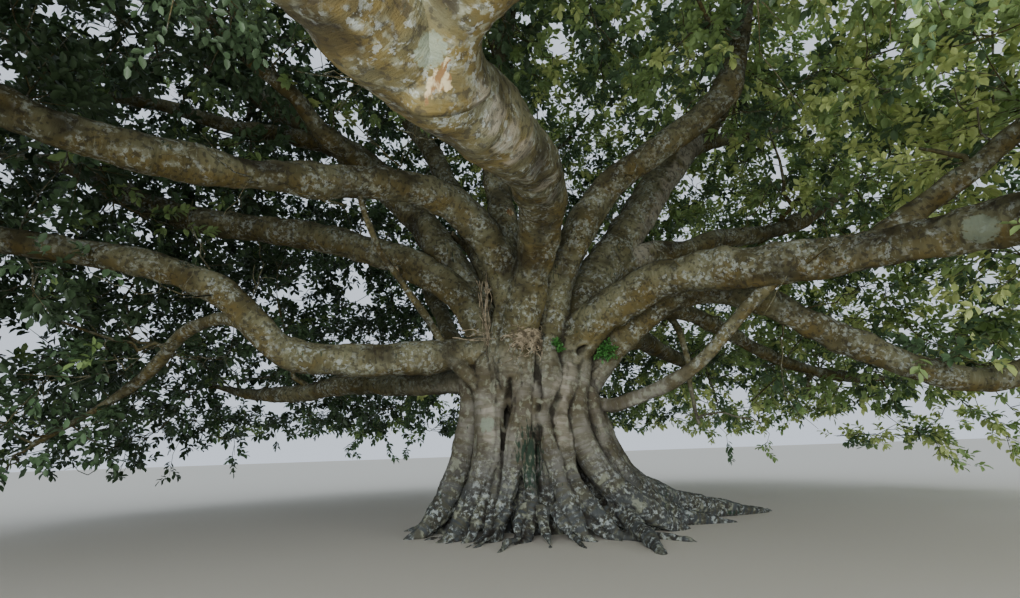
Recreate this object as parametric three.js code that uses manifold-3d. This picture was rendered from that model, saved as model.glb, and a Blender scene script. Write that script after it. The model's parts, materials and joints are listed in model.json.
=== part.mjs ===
// A very large, old banyan (a spreading fig): a fluted trunk of fused stems on toe-like buttress roots,
// long level boughs, and a wide domed crown of leafy masses. Millimetres, +Z up. The origin is the middle
// of the flat cut at ground level, -Y is the front and +X the right-hand side. Bearings turn from +X to +Y,
// in degrees.
import * as THREE from "three";
import { mergeVertices } from "three/addons/utils/BufferGeometryUtils.js";
import Module from "manifold-3d";

const wasm = await Module();
wasm.setup();

// Driving sizes of the whole tree, in metres.
const METRE = 1000;
const WAIST_RADIUS = 1.25; // of the trunk at its narrowest, just under the fork
const FORK = [0, 0, 3.0]; // bearing, distance out and height of the middle of the fork
const COLLAR = 2.1; // how far from the fork's middle the trunk ends and a bough begins
const LOWEST_LEAF = 0.5; // nothing green hangs lower than this
const JOINT_GAP = 0.0005; // clearance between two limbs that meet
const LEAF_LENGTH = 2.6;
const LEAF_WIDTH = 1.7;
const LEAF_THICKNESS = 0.05;
const TWIGS_EACH = 7;
const MOST_LEAVES_EACH = 9;

// The trunk's fused stems: bearing, how far out its foot stands, height of its head, radius there. Those at
// the front stand closest in, and the one at -92 carries the two front boughs.
const STEMS = [
  [176, 1.85, 3.5, 0.3],
  [-150, 1.6, 3.5, 0.28],
  [-120, 1.3, 3.6, 0.3],
  [-92, 1.15, 4.0, 0.3],
  [-66, 1.15, 3.4, 0.26],
  [-38, 1.5, 3.4, 0.3],
  [-6, 1.8, 3.3, 0.3],
  [32, 1.8, 3.4, 0.34],
  [70, 1.6, 3.5, 0.34],
  [108, 1.6, 3.5, 0.34],
  [144, 1.7, 3.5, 0.34],
];

// The roots that show above the ground: bearing, distance of the tip from the axis, height where it leaves
// the trunk, radius there, and how far its tip swings aside in degrees. The tallest runs out to the right.
const ROOTS = [
  [178, 2.35, 1.6, 0.4, 2],
  [-163, 2.45, 1.4, 0.34, -2],
  [-147, 2.1, 1.5, 0.28, 3],
  [-132, 1.95, 1.5, 0.22, -1],
  [-117, 1.7, 1.4, 0.24, -2],
  [-99, 1.6, 1.3, 0.2, -2],
  [-78, 1.8, 1.6, 0.28, 8],
  [-46, 3.1, 1.3, 0.28, -15],
  [-20, 2.1, 1.4, 0.32, 4],
  [-2, 2.8, 1.6, 0.38, 10],
  [14, 5.0, 2.2, 0.52, 3],
  [28, 3.5, 1.7, 0.42, -4],
  [56, 3.0, 1.5, 0.38, 4],
  [88, 2.7, 1.4, 0.36, -6],
  [118, 3.1, 1.6, 0.38, 7],
  [148, 2.7, 1.4, 0.36, -8],
];

// One row for each bough. `at` is where it starts in the trunk, as [bearing, distance out, height], or the
// share along its parent `from`; `tip` is where it enters its mass. `leaves` and `ends` are its headings
// there, as [bearing, rise], and `pull` says how far it keeps to each, as shares of the straight distance.
// `girth` is its radius at either end and `mass` the half-width, half-height and lift of what it carries.
// A `collar` of its own moves its joint with the trunk.
const BOUGHS = [
  { name: "great_right", at: [-37, 0.75, 3.1], tip: [-42, 9.2, 4.1],
    leaves: [-33, 62], ends: [-62, 8], pull: [0.3, 0.4], girth: [0.42, 0.27], mass: [4.0, 2.9] },
  { name: "great_right_fork", from: "great_right", at: 0.66, tip: [-36, 8.1, 5.5],
    leaves: [-28, 30], ends: [-34, 34], pull: [0.3, 0.3], girth: [0.15, 0.12], mass: [3.4, 2.6] },
  { name: "slim_right", at: [-14, 1.0, 2.3], tip: [-32, 4.62, 4.05],
    leaves: [-38, -25], ends: [-19, 41], pull: [0.32, 0.28], girth: [0.15, 0.09], mass: null },
  { name: "arching_right", at: [-10, 0.8, 2.5], tip: [-14, 8.6, 2.6],
    leaves: [-20, 54], ends: [-17, 32], pull: [0.74, 0.41], girth: [0.34, 0.18], mass: [3.8, 2.6] },
  { name: "rear_right", at: [14, 0.8, 2.9], tip: [21, 8.0, 3.0],
    leaves: [13, 43], ends: [16, -10], pull: [0.6, 0.58], girth: [0.27, 0.13], mass: [3.5, 2.5] },
  { name: "right_up_rear", at: [10, 0.45, 2.6], tip: [19, 5.6, 10.3],
    leaves: [8, 80], ends: [19, 58], pull: [0.32, 0.28], girth: [0.56, 0.32], mass: [3.8, 2.7] },
  { name: "right_rear", from: "right_up_rear", at: 0.3, tip: [16, 7.2, 6.8],
    leaves: [12, 26], ends: [17, 24], pull: [0.35, 0.35], girth: [0.3, 0.19], mass: [3.6, 2.6] },
  { name: "right_rear_high", from: "right_up_rear", at: 0.74, tip: [24, 8.2, 10.3],
    leaves: [26, 28], ends: [24, 22], pull: [0.35, 0.35], girth: [0.22, 0.15], mass: [3.5, 2.6] },
  { name: "right_up_front", at: [-70, 0.6, 3.0], tip: [-24, 4.4, 8.4],
    leaves: [-39, 86], ends: [-21, 70], pull: [0.66, 0.26], girth: [0.36, 0.24], mass: [3.8, 2.8] },
  { name: "front", at: [-94, 1.0, 3.0], tip: [-104, 9.4, 5.2],
    leaves: [-66, 78], ends: [-126, 38], pull: [0.61, 0.46], girth: [0.42, 0.42], mass: [3.8, 2.5],
    collar: 2.3 },
  { name: "front_fork", from: "front", at: 0.78, tip: [-76, 9.3, 5.5],
    leaves: [-75, 12], ends: [-50, 18], pull: [0.35, 0.35], girth: [0.36, 0.22], mass: [3.8, 2.5] },
  { name: "front_right_mid", from: "front_fork", at: 0.4, tip: [-66, 6.8, 7.8],
    leaves: [-30, 60], ends: [-50, 40], pull: [0.35, 0.3], girth: [0.22, 0.15], mass: [3.5, 2.6] },
  { name: "front_left_mid", from: "front", at: 0.78, tip: [-122, 7.2, 7.8],
    leaves: [-170, 60], ends: [-120, 44], pull: [0.35, 0.3], girth: [0.24, 0.15], mass: [3.5, 2.6] },
  { name: "front_up", from: "front", at: 0.5, tip: [-118, 4.4, 9.6],
    leaves: [170, 60], ends: [-95, 60], pull: [0.35, 0.3], girth: [0.24, 0.17], mass: [3.6, 2.6] },
  { name: "long_left", at: [-110, 1.0, 3.0], tip: [-140, 9.6, 6.0],
    leaves: [-167, 86], ends: [-137, 24], pull: [0.65, 0.54], girth: [0.36, 0.24], mass: [3.5, 3.0],
    collar: 2.3 },
  { name: "low_left", at: [-144, 0.9, 3.3], tip: [-160, 9.1, 4.9],
    leaves: [-166, -6], ends: [-165, 5], pull: [0.87, 0.8], girth: [0.32, 0.2], mass: [3.8, 2.7] },
  { name: "drooping_left", from: "low_left", at: 0.46, tip: [-178, 8.0, 2.9],
    leaves: [-176, 40], ends: [176, -36], pull: [0.45, 0.3], girth: [0.15, 0.09], mass: [3.5, 2.4] },
  { name: "level_left", at: [-172, 0.8, 3.0], tip: [-178, 9.5, 7.5],
    leaves: [-176, 75], ends: [-178, 34], pull: [0.42, 0.45], girth: [0.36, 0.24], mass: [4.0, 2.8, -0.9] },
  { name: "back_left", at: [164, 0.9, 2.8], tip: [152, 8.2, 3.1],
    leaves: [162, 6], ends: [150, 4], pull: [0.35, 0.35], girth: [0.3, 0.18], mass: [3.8, 2.7] },
  { name: "high_left", at: [172, 0.6, 2.9], tip: [172, 7.4, 10.8],
    leaves: [170, 68], ends: [174, 36], pull: [0.42, 0.45], girth: [0.42, 0.26], mass: [4.0, 2.8] },
  { name: "high_left_fork", from: "high_left", at: 0.7, tip: [-178, 9.6, 9.6],
    leaves: [178, 12], ends: [-176, 14], pull: [0.35, 0.35], girth: [0.22, 0.15], mass: [3.6, 2.6, 0.8] },
  { name: "left_mid", from: "high_left", at: 0.5, tip: [-160, 6.0, 9.2],
    leaves: [-150, 34], ends: [-150, 34], pull: [0.35, 0.3], girth: [0.22, 0.15], mass: [3.7, 2.7] },
  { name: "rear_up", at: [146, 0.5, 3.0], tip: [150, 3.4, 9.9],
    leaves: [148, 76], ends: [150, 58], pull: [0.35, 0.3], girth: [0.36, 0.22], mass: [3.8, 2.7] },
  { name: "leader", at: [170, 0.2, 3.0], tip: [140, 0.7, 10.8],
    leaves: [170, 84], ends: [20, 76], pull: [0.35, 0.3], girth: [0.42, 0.24], mass: [4.0, 2.6] },
  { name: "back_up", at: [84, 0.6, 3.0], tip: [84, 4.2, 9.7],
    leaves: [86, 72], ends: [82, 48], pull: [0.35, 0.3], girth: [0.4, 0.22], mass: [3.6, 2.6] },
  { name: "back_right", at: [44, 0.8, 3.0], tip: [51, 8.4, 3.9],
    leaves: [44, 40], ends: [54, 2], pull: [0.36, 0.36], girth: [0.34, 0.2], mass: [3.8, 2.8] },
  { name: "back_right_mid", from: "back_right", at: 0.35, tip: [58, 6.4, 7.3],
    leaves: [60, 50], ends: [58, 34], pull: [0.35, 0.3], girth: [0.24, 0.16], mass: [3.6, 2.7] },
  { name: "back", at: [92, 0.8, 2.8], tip: [85, 8.3, 3.7],
    leaves: [94, 30], ends: [82, 0], pull: [0.36, 0.36], girth: [0.32, 0.2], mass: [3.8, 2.8] },
  { name: "back_far_left", at: [126, 0.8, 2.9], tip: [118, 8.4, 3.9],
    leaves: [130, 34], ends: [112, 4], pull: [0.36, 0.36], girth: [0.33, 0.2], mass: [3.8, 2.8] },
  { name: "back_left_mid", from: "back_far_left", at: 0.35, tip: [124, 6.4, 7.3],
    leaves: [128, 52], ends: [124, 34], pull: [0.35, 0.3], girth: [0.24, 0.16], mass: [3.6, 2.7] },
];

const BARK = new THREE.MeshStandardMaterial({ color: 0x8a7a63, roughness: 0.9, metalness: 0 });
const LEAF = new THREE.MeshStandardMaterial({ color: 0x3f5a2a, roughness: 0.55, metalness: 0 });

// A seeded stream of numbers from 0 to 1 (Park and Miller's rule).
function seeded(seed) {
  let state = (seed * 7919 + 12345) % 2147483647;
  return () => {
    state = (state * 16807) % 2147483647;
    return state / 2147483647;
  };
}

// The unit vector that points along a bearing and rises at an angle.
function heading([bearing, rise]) {
  const turn = THREE.MathUtils.degToRad(bearing);
  const tilt = THREE.MathUtils.degToRad(rise);
  const level = Math.cos(tilt);
  return new THREE.Vector3(level * Math.cos(turn), level * Math.sin(turn), Math.sin(tilt));
}

// The point at a bearing, a distance out from the trunk's axis and a height.
function place([bearing, out, height]) {
  const point = heading([bearing, 0]).multiplyScalar(out);
  point.z = height;
  return point;
}

// A tapering, slightly wavering limb along a cubic curve, in metres.
class Limb extends THREE.Curve {
  constructor(start, leaves, tip, ends, pull, girth, waver = 0, seed = 1) {
    super();
    const reach = start.distanceTo(tip);
    this.spine = new THREE.CubicBezierCurve3(
      start,
      start.clone().addScaledVector(leaves, pull[0] * reach),
      tip.clone().addScaledVector(ends, -pull[1] * reach),
      tip,
    );
    this.girth = girth;
    const draw = seeded(seed);
    this.waves = [1.5, 2.5].map((turns) => ({
      turns,
      phase: draw() * 2 * Math.PI,
      sway: new THREE.Vector3(draw() - 0.5, draw() - 0.5, draw() - 0.5).multiplyScalar((2 * waver) / turns),
    }));
    this.level = new THREE.Vector3(start.y - tip.y, tip.x - start.x, 0);
    if (this.level.length() < 0.01) this.level.set(1, 0, 0);
  }

  // The centre line at share t. The waver fades out at both ends.
  getPoint(t, target = new THREE.Vector3()) {
    this.spine.getPoint(t, target);
    for (const { turns, phase, sway } of this.waves) {
      target.addScaledVector(sway, Math.sin(Math.PI * t) ** 2 * Math.sin(2 * Math.PI * turns * t + phase));
    }
    return target;
  }

  // The direction of growth at share t.
  along(t) {
    const step = 0.0001;
    return this.getPoint(Math.min(1, t + step)).sub(this.getPoint(Math.max(0, t - step))).normalize();
  }

  radius(t) {
    return this.girth[0] + (this.girth[1] - this.girth[0]) * Math.pow(t, 0.8);
  }

  // The first share at which the centre line is farther than a distance from a point.
  shareBeyond(point, distance) {
    let t = 0;
    while (t < 1 && this.getPoint(t).distanceTo(point) < distance) t += 0.01;
    return t;
  }
}

// The closed tube round the part of a limb from one share to another, as a bent cylinder. `grown` widens it
// and lengthens both its ends by a clearance.
function tube(limb, sides, steps, [from, to] = [0, 1], grown = 0) {
  const geometry = new THREE.CylinderGeometry(1, 1, 1, sides, steps);
  const position = geometry.attributes.position;
  for (let i = 0; i < position.count; i += 1) {
    const step = Math.round((position.getY(i) + 0.5) * steps);
    const t = step === steps ? to : from + ((to - from) * step) / steps;
    const tangent = limb.along(t);
    const side = limb.level.clone().addScaledVector(tangent, -limb.level.dot(tangent)).normalize();
    const over = tangent.clone().cross(side);
    const radius = limb.radius(t) + grown;
    const bent = limb.getPoint(t)
      .addScaledVector(tangent, t === from ? -grown : t === to ? grown : 0)
      .addScaledVector(side, position.getZ(i) * radius)
      .addScaledVector(over, position.getX(i) * radius);
    position.setXYZ(i, bent.x, bent.y, bent.z);
  }
  return solidOf(geometry);
}

// A three.js geometry in metres as a solid in millimetres.
function solidOf(geometry) {
  const bare = new THREE.BufferGeometry().setAttribute("position", geometry.attributes.position);
  bare.setIndex(geometry.index);
  bare.scale(METRE, METRE, METRE);
  const merged = mergeVertices(bare, 1e-3);
  const mesh = new wasm.Mesh({
    numProp: 3,
    vertProperties: new Float32Array(merged.attributes.position.array),
    triVerts: new Uint32Array(merged.index.array),
  });
  return new wasm.Manifold(mesh);
}

function joined(solids) {
  return solids.reduce((whole, solid) => whole.add(solid));
}

// The largest body of a solid, without loose scraps and with sealed hollows filled.
function largest(solid) {
  return solid.decompose().reduce((best, piece) => (piece.volume() > best.volume() ? piece : best));
}

function boxesMeet(a, b) {
  const first = a.boundingBox();
  const second = b.boundingBox();
  return [0, 1, 2].every((k) => first.min[k] <= second.max[k] && second.min[k] <= first.max[k]);
}

function touchesAny(solid, others) {
  return others.some((other) => boxesMeet(solid, other) && !solid.intersect(other).isEmpty());
}

function meshOf(name, solid, material) {
  const made = solid.getMesh();
  const geometry = new THREE.BufferGeometry();
  geometry.setAttribute("position", new THREE.BufferAttribute(new Float32Array(made.vertProperties), 3));
  geometry.setIndex(new THREE.BufferAttribute(new Uint32Array(made.triVerts), 1));
  geometry.computeVertexNormals();
  const mesh = new THREE.Mesh(geometry, material);
  mesh.name = name;
  return mesh;
}

// A fused stem of the trunk: its foot stands out, and it draws in to the waist and rises into the fork.
function stemLimb([bearing, out, top, radius], i) {
  const foot = place([bearing, out, -0.3]);
  const head = place([bearing, WAIST_RADIUS - 0.42, top]);
  return new Limb(foot, heading([bearing + 180, 58]), head, heading([bearing, 86]), [0.3, 0.55],
    [radius + 0.2, radius], 0.06, 20 + i);
}

// A root leaves the trunk's flank steeply and runs out to its tip along the ground.
function rootLimb([bearing, out, height, radius, swing], i) {
  const start = place([bearing, WAIST_RADIUS + 0.1 - radius, height]);
  const tip = place([bearing + swing, out, 0]);
  return new Limb(start, heading([bearing, -70]), tip, heading([bearing + swing, -2]), [0.42, 0.5],
    [radius, 0.1], 0.03, 40 + i);
}

const forkMiddle = place(FORK);
const up = heading([0, 90]);
const core = new Limb(place([0, 0, -0.3]), up, forkMiddle, up, [0.3, 0.3], [0.95, 0.75]);
const stems = STEMS.map(stemLimb);
const roots = ROOTS.map(rootLimb);

// Each bough's limb with the share of it that belongs to the trunk, and the detail of its tube.
const boughs = new Map();
BOUGHS.forEach((row, i) => {
  const parent = boughs.get(row.from);
  const start = parent ? parent.limb.getPoint(row.at) : place(row.at);
  const tip = place(row.tip);
  const headings = [heading(row.leaves), heading(row.ends)];
  const limb = new Limb(start, headings[0], tip, headings[1], row.pull, row.girth, 0.12, 100 + i);
  const collar = parent ? 0 : limb.shareBeyond(forkMiddle, row.collar ?? COLLAR);
  const sides = row.girth[0] > 0.28 ? 7 : 5;
  boughs.set(row.name, { limb, collar, sides, length: start.distanceTo(tip) });
});

// The trunk with its root flare and the roots of its boughs, cut flat at the ground.
function trunkSolid(grown = 0) {
  const risen = [...boughs.values()].filter((bough) => bough.collar > 0);
  const below = new THREE.BoxGeometry(20, 20, 2);
  below.translate(0, 0, -1);
  return largest(joined([
    tube(core, 8, 1, [0, 1], grown),
    ...stems.map((limb) => tube(limb, 5, 3, [0, 1], grown)),
    ...roots.map((limb) => tube(limb, 4, 3, [0, 1], grown)),
    ...risen.map(({ limb, collar, sides }) => tube(limb, sides, 2, [0, collar], grown)),
  ]).subtract(solidOf(below)));
}

// The outer part of a bough, from just beyond the trunk's collar to its tip.
function boughSolid({ limb, collar, sides, length }, grown = 0) {
  const begin = collar > 0 ? collar + JOINT_GAP / length : 0;
  return tube(limb, sides, Math.max(4, Math.round(length * (1 - collar) * 0.8)), [begin, 1], grown);
}

// The trunk and boughs just wide of their surfaces. Each bough is cut clear of the ones before it.
const wood = [trunkSolid(JOINT_GAP)];
const tree = new THREE.Group();
tree.add(meshOf("trunk", trunkSolid(), BARK));
for (const [name, bough] of boughs) {
  const whole = boughSolid(bough);
  const near = wood.filter((other) => boxesMeet(whole, other));
  const clear = near.reduce((solid, other) => solid.subtract(other), whole);
  tree.add(meshOf(`bough_${name}`, largest(clear), BARK));
  wood.push(boughSolid(bough, JOINT_GAP));
}

// A leafy mass: an ellipsoid of space beyond its bough's tip.
function massOf(row) {
  const [wide, tall, lift = 0.3] = row.mass;
  const centre = place(row.tip).addScaledVector(heading(row.ends), 0.66 * wide);
  centre.z += lift;
  const size = new THREE.Vector3(wide, wide, tall);
  return { name: row.name, centre, size, limb: boughs.get(row.name).limb };
}

const masses = BOUGHS.filter((row) => row.mass).map(massOf);
const limbs = [core, ...stems, ...[...boughs.values()].map((bough) => bough.limb)];
const limbLines = limbs.flatMap((limb) => {
  const count = 20;
  return Array.from({ length: count }, (_, i) => ({
    line: new THREE.Line3(limb.getPoint(i / count), limb.getPoint((i + 1) / count)),
    room: limb.radius(i / count) + 0.12,
  }));
});

// Whether a point lies in a mass's own space: inside its ellipsoid, nearer to its centre than to any
// other's, above the lowest leaf and clear of every limb.
function inSpace(point, mass, share = 1) {
  const own = point.distanceToSquared(mass.centre);
  const inside = point.clone().sub(mass.centre).divide(mass.size).length() < share;
  if (!inside || point.z < LOWEST_LEAF) return false;
  const borders = masses.every((other) => other === mass
    || point.distanceToSquared(other.centre) - own > 0.1 * other.centre.distanceTo(mass.centre));
  return borders && limbLines.every(({ line, room }) =>
    line.closestPointToPoint(point, true, new THREE.Vector3()).distanceTo(point) > room);
}

// A leaf blade that stands for a spray: eight faces, widest before its middle, with a drooping tip.
function leafGeometry(leaf) {
  const geometry = new THREE.OctahedronGeometry(1);
  const position = geometry.attributes.position;
  for (let i = 0; i < position.count; i += 1) {
    const [x, y, z] = [position.getX(i), position.getY(i), position.getZ(i)].map(Math.round);
    const corner = leafPoint(leaf, [0, 0.42, 1][x + 1], y / 2, z / 2);
    position.setXYZ(i, corner.x, corner.y, corner.z);
  }
  return geometry;
}

// The point of a leaf at shares of its length, width and thickness.
function leafPoint({ base, along, across, length }, share, side, depth = 0) {
  const point = base.clone()
    .addScaledVector(along, share * length)
    .addScaledVector(across, side * LEAF_WIDTH)
    .addScaledVector(along.clone().cross(across), depth * LEAF_THICKNESS);
  point.z -= share > 0.9 ? 0.12 * length : 0;
  return point;
}

// Points over a leaf's blade.
function leafSpots(leaf) {
  const spots = [
    [0.2, 0], [0.42, -0.5], [0.42, 0], [0.42, 0.5], [0.7, -0.25], [0.7, 0], [0.7, 0.25], [1, 0],
  ];
  return spots.map(([share, side]) => leafPoint(leaf, share, side));
}

// The leaves of one twig, as solids. Each lies along the crown's surface, turned about until it keeps to
// the mass's space and clear of the wood and of the other leaves; a leaf that never fits is left out.
function twigLeaves(twig, mass, others, taken, draw) {
  const leaves = [];
  for (const share of [0.96, 0.7, 0.45]) {
    const base = twig.getPoint(share);
    const outward = base.clone().sub(mass.centre).divide(mass.size).normalize();
    for (let tries = 0; tries < 24; tries += 1) {
      const along = new THREE.Vector3(draw() - 0.5, draw() - 0.5, draw() - 0.6);
      along.addScaledVector(outward, 0.15 - 0.8 * along.dot(outward)).normalize();
      const across = along.clone().cross(outward).normalize();
      const leaf = { base, along, across, length: LEAF_LENGTH * (0.85 + 0.3 * draw()) };
      const spots = leafSpots(leaf);
      const apart = (spot) => taken.every((other) => other.distanceTo(spot) > 0.45);
      if (!spots.every((spot) => inSpace(spot, mass) && apart(spot))) continue;
      const blade = solidOf(leafGeometry(leaf));
      if (touchesAny(blade, [...wood, ...others, ...leaves])) continue;
      leaves.push(blade);
      taken.push(...spots);
      break;
    }
  }
  return leaves;
}

// The twigs of a mass, from its stem towards points spread evenly over its ellipsoid; each is shortened
// until it fits, or left out.
function massTwigs(stem, mass, draw) {
  const goldenAngle = Math.PI * (3 - Math.sqrt(5));
  const turn = draw() * 2 * Math.PI;
  const twigs = [];
  for (let k = 0; k < TWIGS_EACH; k += 1) {
    const rise = 1 - (2 * k + 1) / TWIGS_EACH;
    const bearing = k * goldenAngle + turn;
    const outward = new THREE.Vector3(Math.cos(bearing), Math.sin(bearing), 0);
    outward.multiplyScalar(Math.sqrt(1 - rise * rise)).setZ(rise);
    const goal = mass.centre.clone().addScaledVector(outward.multiply(mass.size), 0.72);
    const start = stem.getPoint(0.4 + 0.55 * draw());
    for (const reach of [1, 0.8, 0.6]) {
      const end = start.clone().lerp(goal, reach);
      const towards = end.clone().sub(start).normalize();
      const twig = new Limb(start, towards, end, towards, [0.33, 0.33], [0.07, 0.04]);
      if ([0.25, 0.5, 0.75, 1].every((t) => inSpace(twig.getPoint(t), mass, 0.97))) {
        twigs.push(twig);
        break;
      }
    }
  }
  return twigs;
}

// The solid of a mass: a stem just clear of the bough's tip, its twigs and their leaves.
function massSolid(mass, i) {
  const draw = seeded(300 + i);
  const ahead = mass.limb.along(1);
  const start = mass.limb.getPoint(1).addScaledVector(ahead, JOINT_GAP);
  const towards = mass.centre.clone().sub(start).normalize();
  const stem = new Limb(start, ahead, mass.centre, towards, [0.35, 0.3], [0.9 * mass.limb.girth[1], 0.05]);
  const shoots = [tube(stem, 4, 2)];
  const blades = [];
  const taken = [];
  for (const twig of massTwigs(stem, mass, draw)) {
    const shoot = tube(twig, 3, 1);
    if (blades.length >= MOST_LEAVES_EACH || touchesAny(shoot, [...wood, ...blades])) continue;
    const leaves = twigLeaves(twig, mass, [...shoots, ...blades], taken, draw);
    if (leaves.length > 0) shoots.push(shoot);
    blades.push(...leaves);
  }
  return largest(joined([...shoots, ...blades]));
}

masses.forEach((mass, i) => tree.add(meshOf(`leaves_${mass.name}`, massSolid(mass, i), LEAF)));

export default tree;
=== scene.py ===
import json
import logging
import math
from dataclasses import dataclass, field
from enum import Enum
from functools import partial
from itertools import product
from pathlib import Path as File
from typing import Any, Iterator, Optional, Sequence

import bmesh
import bpy
import numpy as np
from mathutils import Matrix, Vector
from mathutils.kdtree import KDTree

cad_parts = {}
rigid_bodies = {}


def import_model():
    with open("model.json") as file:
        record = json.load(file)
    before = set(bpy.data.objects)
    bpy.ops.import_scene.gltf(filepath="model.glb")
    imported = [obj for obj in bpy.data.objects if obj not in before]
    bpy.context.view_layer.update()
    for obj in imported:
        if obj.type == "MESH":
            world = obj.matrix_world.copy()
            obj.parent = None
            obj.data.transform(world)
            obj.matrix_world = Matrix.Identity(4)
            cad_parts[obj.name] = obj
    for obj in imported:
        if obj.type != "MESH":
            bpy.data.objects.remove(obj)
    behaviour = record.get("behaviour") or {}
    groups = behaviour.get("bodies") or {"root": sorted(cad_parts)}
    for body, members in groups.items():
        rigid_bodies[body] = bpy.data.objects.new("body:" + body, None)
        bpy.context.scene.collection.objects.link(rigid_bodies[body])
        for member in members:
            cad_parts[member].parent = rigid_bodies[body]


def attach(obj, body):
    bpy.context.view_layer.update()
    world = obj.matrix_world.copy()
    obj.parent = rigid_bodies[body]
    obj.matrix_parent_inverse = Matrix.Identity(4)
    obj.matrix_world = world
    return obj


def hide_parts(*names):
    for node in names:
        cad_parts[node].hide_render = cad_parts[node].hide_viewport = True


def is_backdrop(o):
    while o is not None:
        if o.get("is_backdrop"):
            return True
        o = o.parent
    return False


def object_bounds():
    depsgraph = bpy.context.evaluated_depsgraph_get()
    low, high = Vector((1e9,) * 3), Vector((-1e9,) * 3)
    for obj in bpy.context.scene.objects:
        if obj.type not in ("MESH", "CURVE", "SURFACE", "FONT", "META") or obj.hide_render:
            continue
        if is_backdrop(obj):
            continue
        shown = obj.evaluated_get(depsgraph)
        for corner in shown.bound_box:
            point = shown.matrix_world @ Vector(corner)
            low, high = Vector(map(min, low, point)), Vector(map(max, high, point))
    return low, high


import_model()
CAD_LOW, CAD_HIGH = (np.array(corner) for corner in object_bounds())

log = logging.getLogger("banyan")

# The tree's driving sizes, in metres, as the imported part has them. Bearings turn from +X to +Y, in degrees.
WAIST_RADIUS = 1.25
FORK = (0.0, 0.0, 3.0)
COLLAR = 2.1
LOWEST_LEAF = 0.5

# Where the foliage of a drooping bough hangs almost to the ground: x, y and reach.
WEEPING = (-9.5, -0.8, 1.9)

# Where the sun reaches in under the crown: x, y, z. Where foliage closes the gaps between the masses: x, y, z
# and reach.
SUNNY = (5.6, -3.6, 5.8)
CLOSED = (
    (-8.4, 2.6, 7.0, 3.4), (-8.0, 6.6, 7.2, 2.8), (-6.6, 0.2, 6.4, 2.0), (2.6, -0.6, 10.4, 2.4),
    (0.0, -1.2, 10.9, 2.6), (0.6, 8.6, 6.8, 2.8), (7.6, -1.4, 8.2, 2.4), (0.2, -11.4, 7.9, 3.0),
)

# The photograph's frame, the lens and place that match it, and how far round it no twig or leaf grows.
PICTURE = (1020, 598)
FOCAL_PIXELS = 550.0
EYE = np.array((-0.5, -11.1, 1.45))
PITCH = 15.3
ROLL = 2.0
CLEARING = 4.8

Triple = tuple[float, float, float]
Pair = tuple[float, float]
Spot = tuple[float, float, float, float]

# What the bark is painted with, beside its grain, as numbers from 0 to 1, among them the painted shade of
# its folds and the painted highlights on its pale smooth places.
MARKS = ("limb", "fold", "moss", "scar", "patch", "smooth_and_highlit")

# How far apart the patterns of grain of two limbs are kept, in metres along them.
GRAIN_APART = 11.0

# How many states the part's stream of numbers has.
STREAM_SIZE = 2147483647

# The odd numbers that mix a lattice point's x, y, z and seed into one.
MIXERS = (73856093, 19349663, 83492791, 26544357)


@dataclass(frozen=True)
class BoughPlan:
    """Where one bough leaves the trunk or its parent, where it ends, and what it carries.

    Places are (bearing, distance out, height), headings are (bearing, rise). ``at`` is a place in the trunk
    or the share along ``parent``, ``pull`` how far the limb keeps to its two headings, ``girth`` its radius
    at either end, ``mass`` the half-width, half-height and lift of its foliage, and ``collar`` how far from
    the fork its own skin begins.
    """

    name: str
    at: Triple | float
    tip: Triple
    leaves: Pair
    ends: Pair
    pull: Pair
    girth: Pair
    mass: Optional[Triple]
    parent: str = ""
    collar: float = COLLAR


# The trunk's fused stems: bearing, how far out its foot stands, height of its head, radius there.
STEMS = (
    (176, 1.85, 3.5, 0.3), (-150, 1.6, 3.5, 0.28), (-120, 1.3, 3.6, 0.3), (-92, 1.15, 4.0, 0.3),
    (-66, 1.15, 3.4, 0.26), (-38, 1.5, 3.4, 0.3), (-6, 1.8, 3.3, 0.3), (32, 1.8, 3.4, 0.34),
    (70, 1.6, 3.5, 0.34), (108, 1.6, 3.5, 0.34), (144, 1.7, 3.5, 0.34),
)

# The roots above the ground: bearing, distance of the tip, height and radius where it leaves, and how far its
# tip swings round.
ROOTS = (
    (178, 2.35, 1.6, 0.4, 2), (-163, 2.45, 1.4, 0.34, -2), (-147, 2.1, 1.5, 0.28, 3),
    (-132, 1.95, 1.5, 0.22, -1), (-117, 1.7, 1.4, 0.24, -2), (-99, 1.6, 1.3, 0.2, -2),
    (-78, 1.8, 1.6, 0.28, 8), (-46, 3.1, 1.3, 0.28, -15), (-20, 2.1, 1.4, 0.32, 4),
    (-2, 2.8, 1.6, 0.38, 10), (14, 5.0, 2.2, 0.52, 3), (28, 3.5, 1.7, 0.42, -4), (56, 3.0, 1.5, 0.38, 4),
    (88, 2.7, 1.4, 0.36, -6), (118, 3.1, 1.6, 0.38, 7), (148, 2.7, 1.4, 0.36, -8),
)

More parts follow.
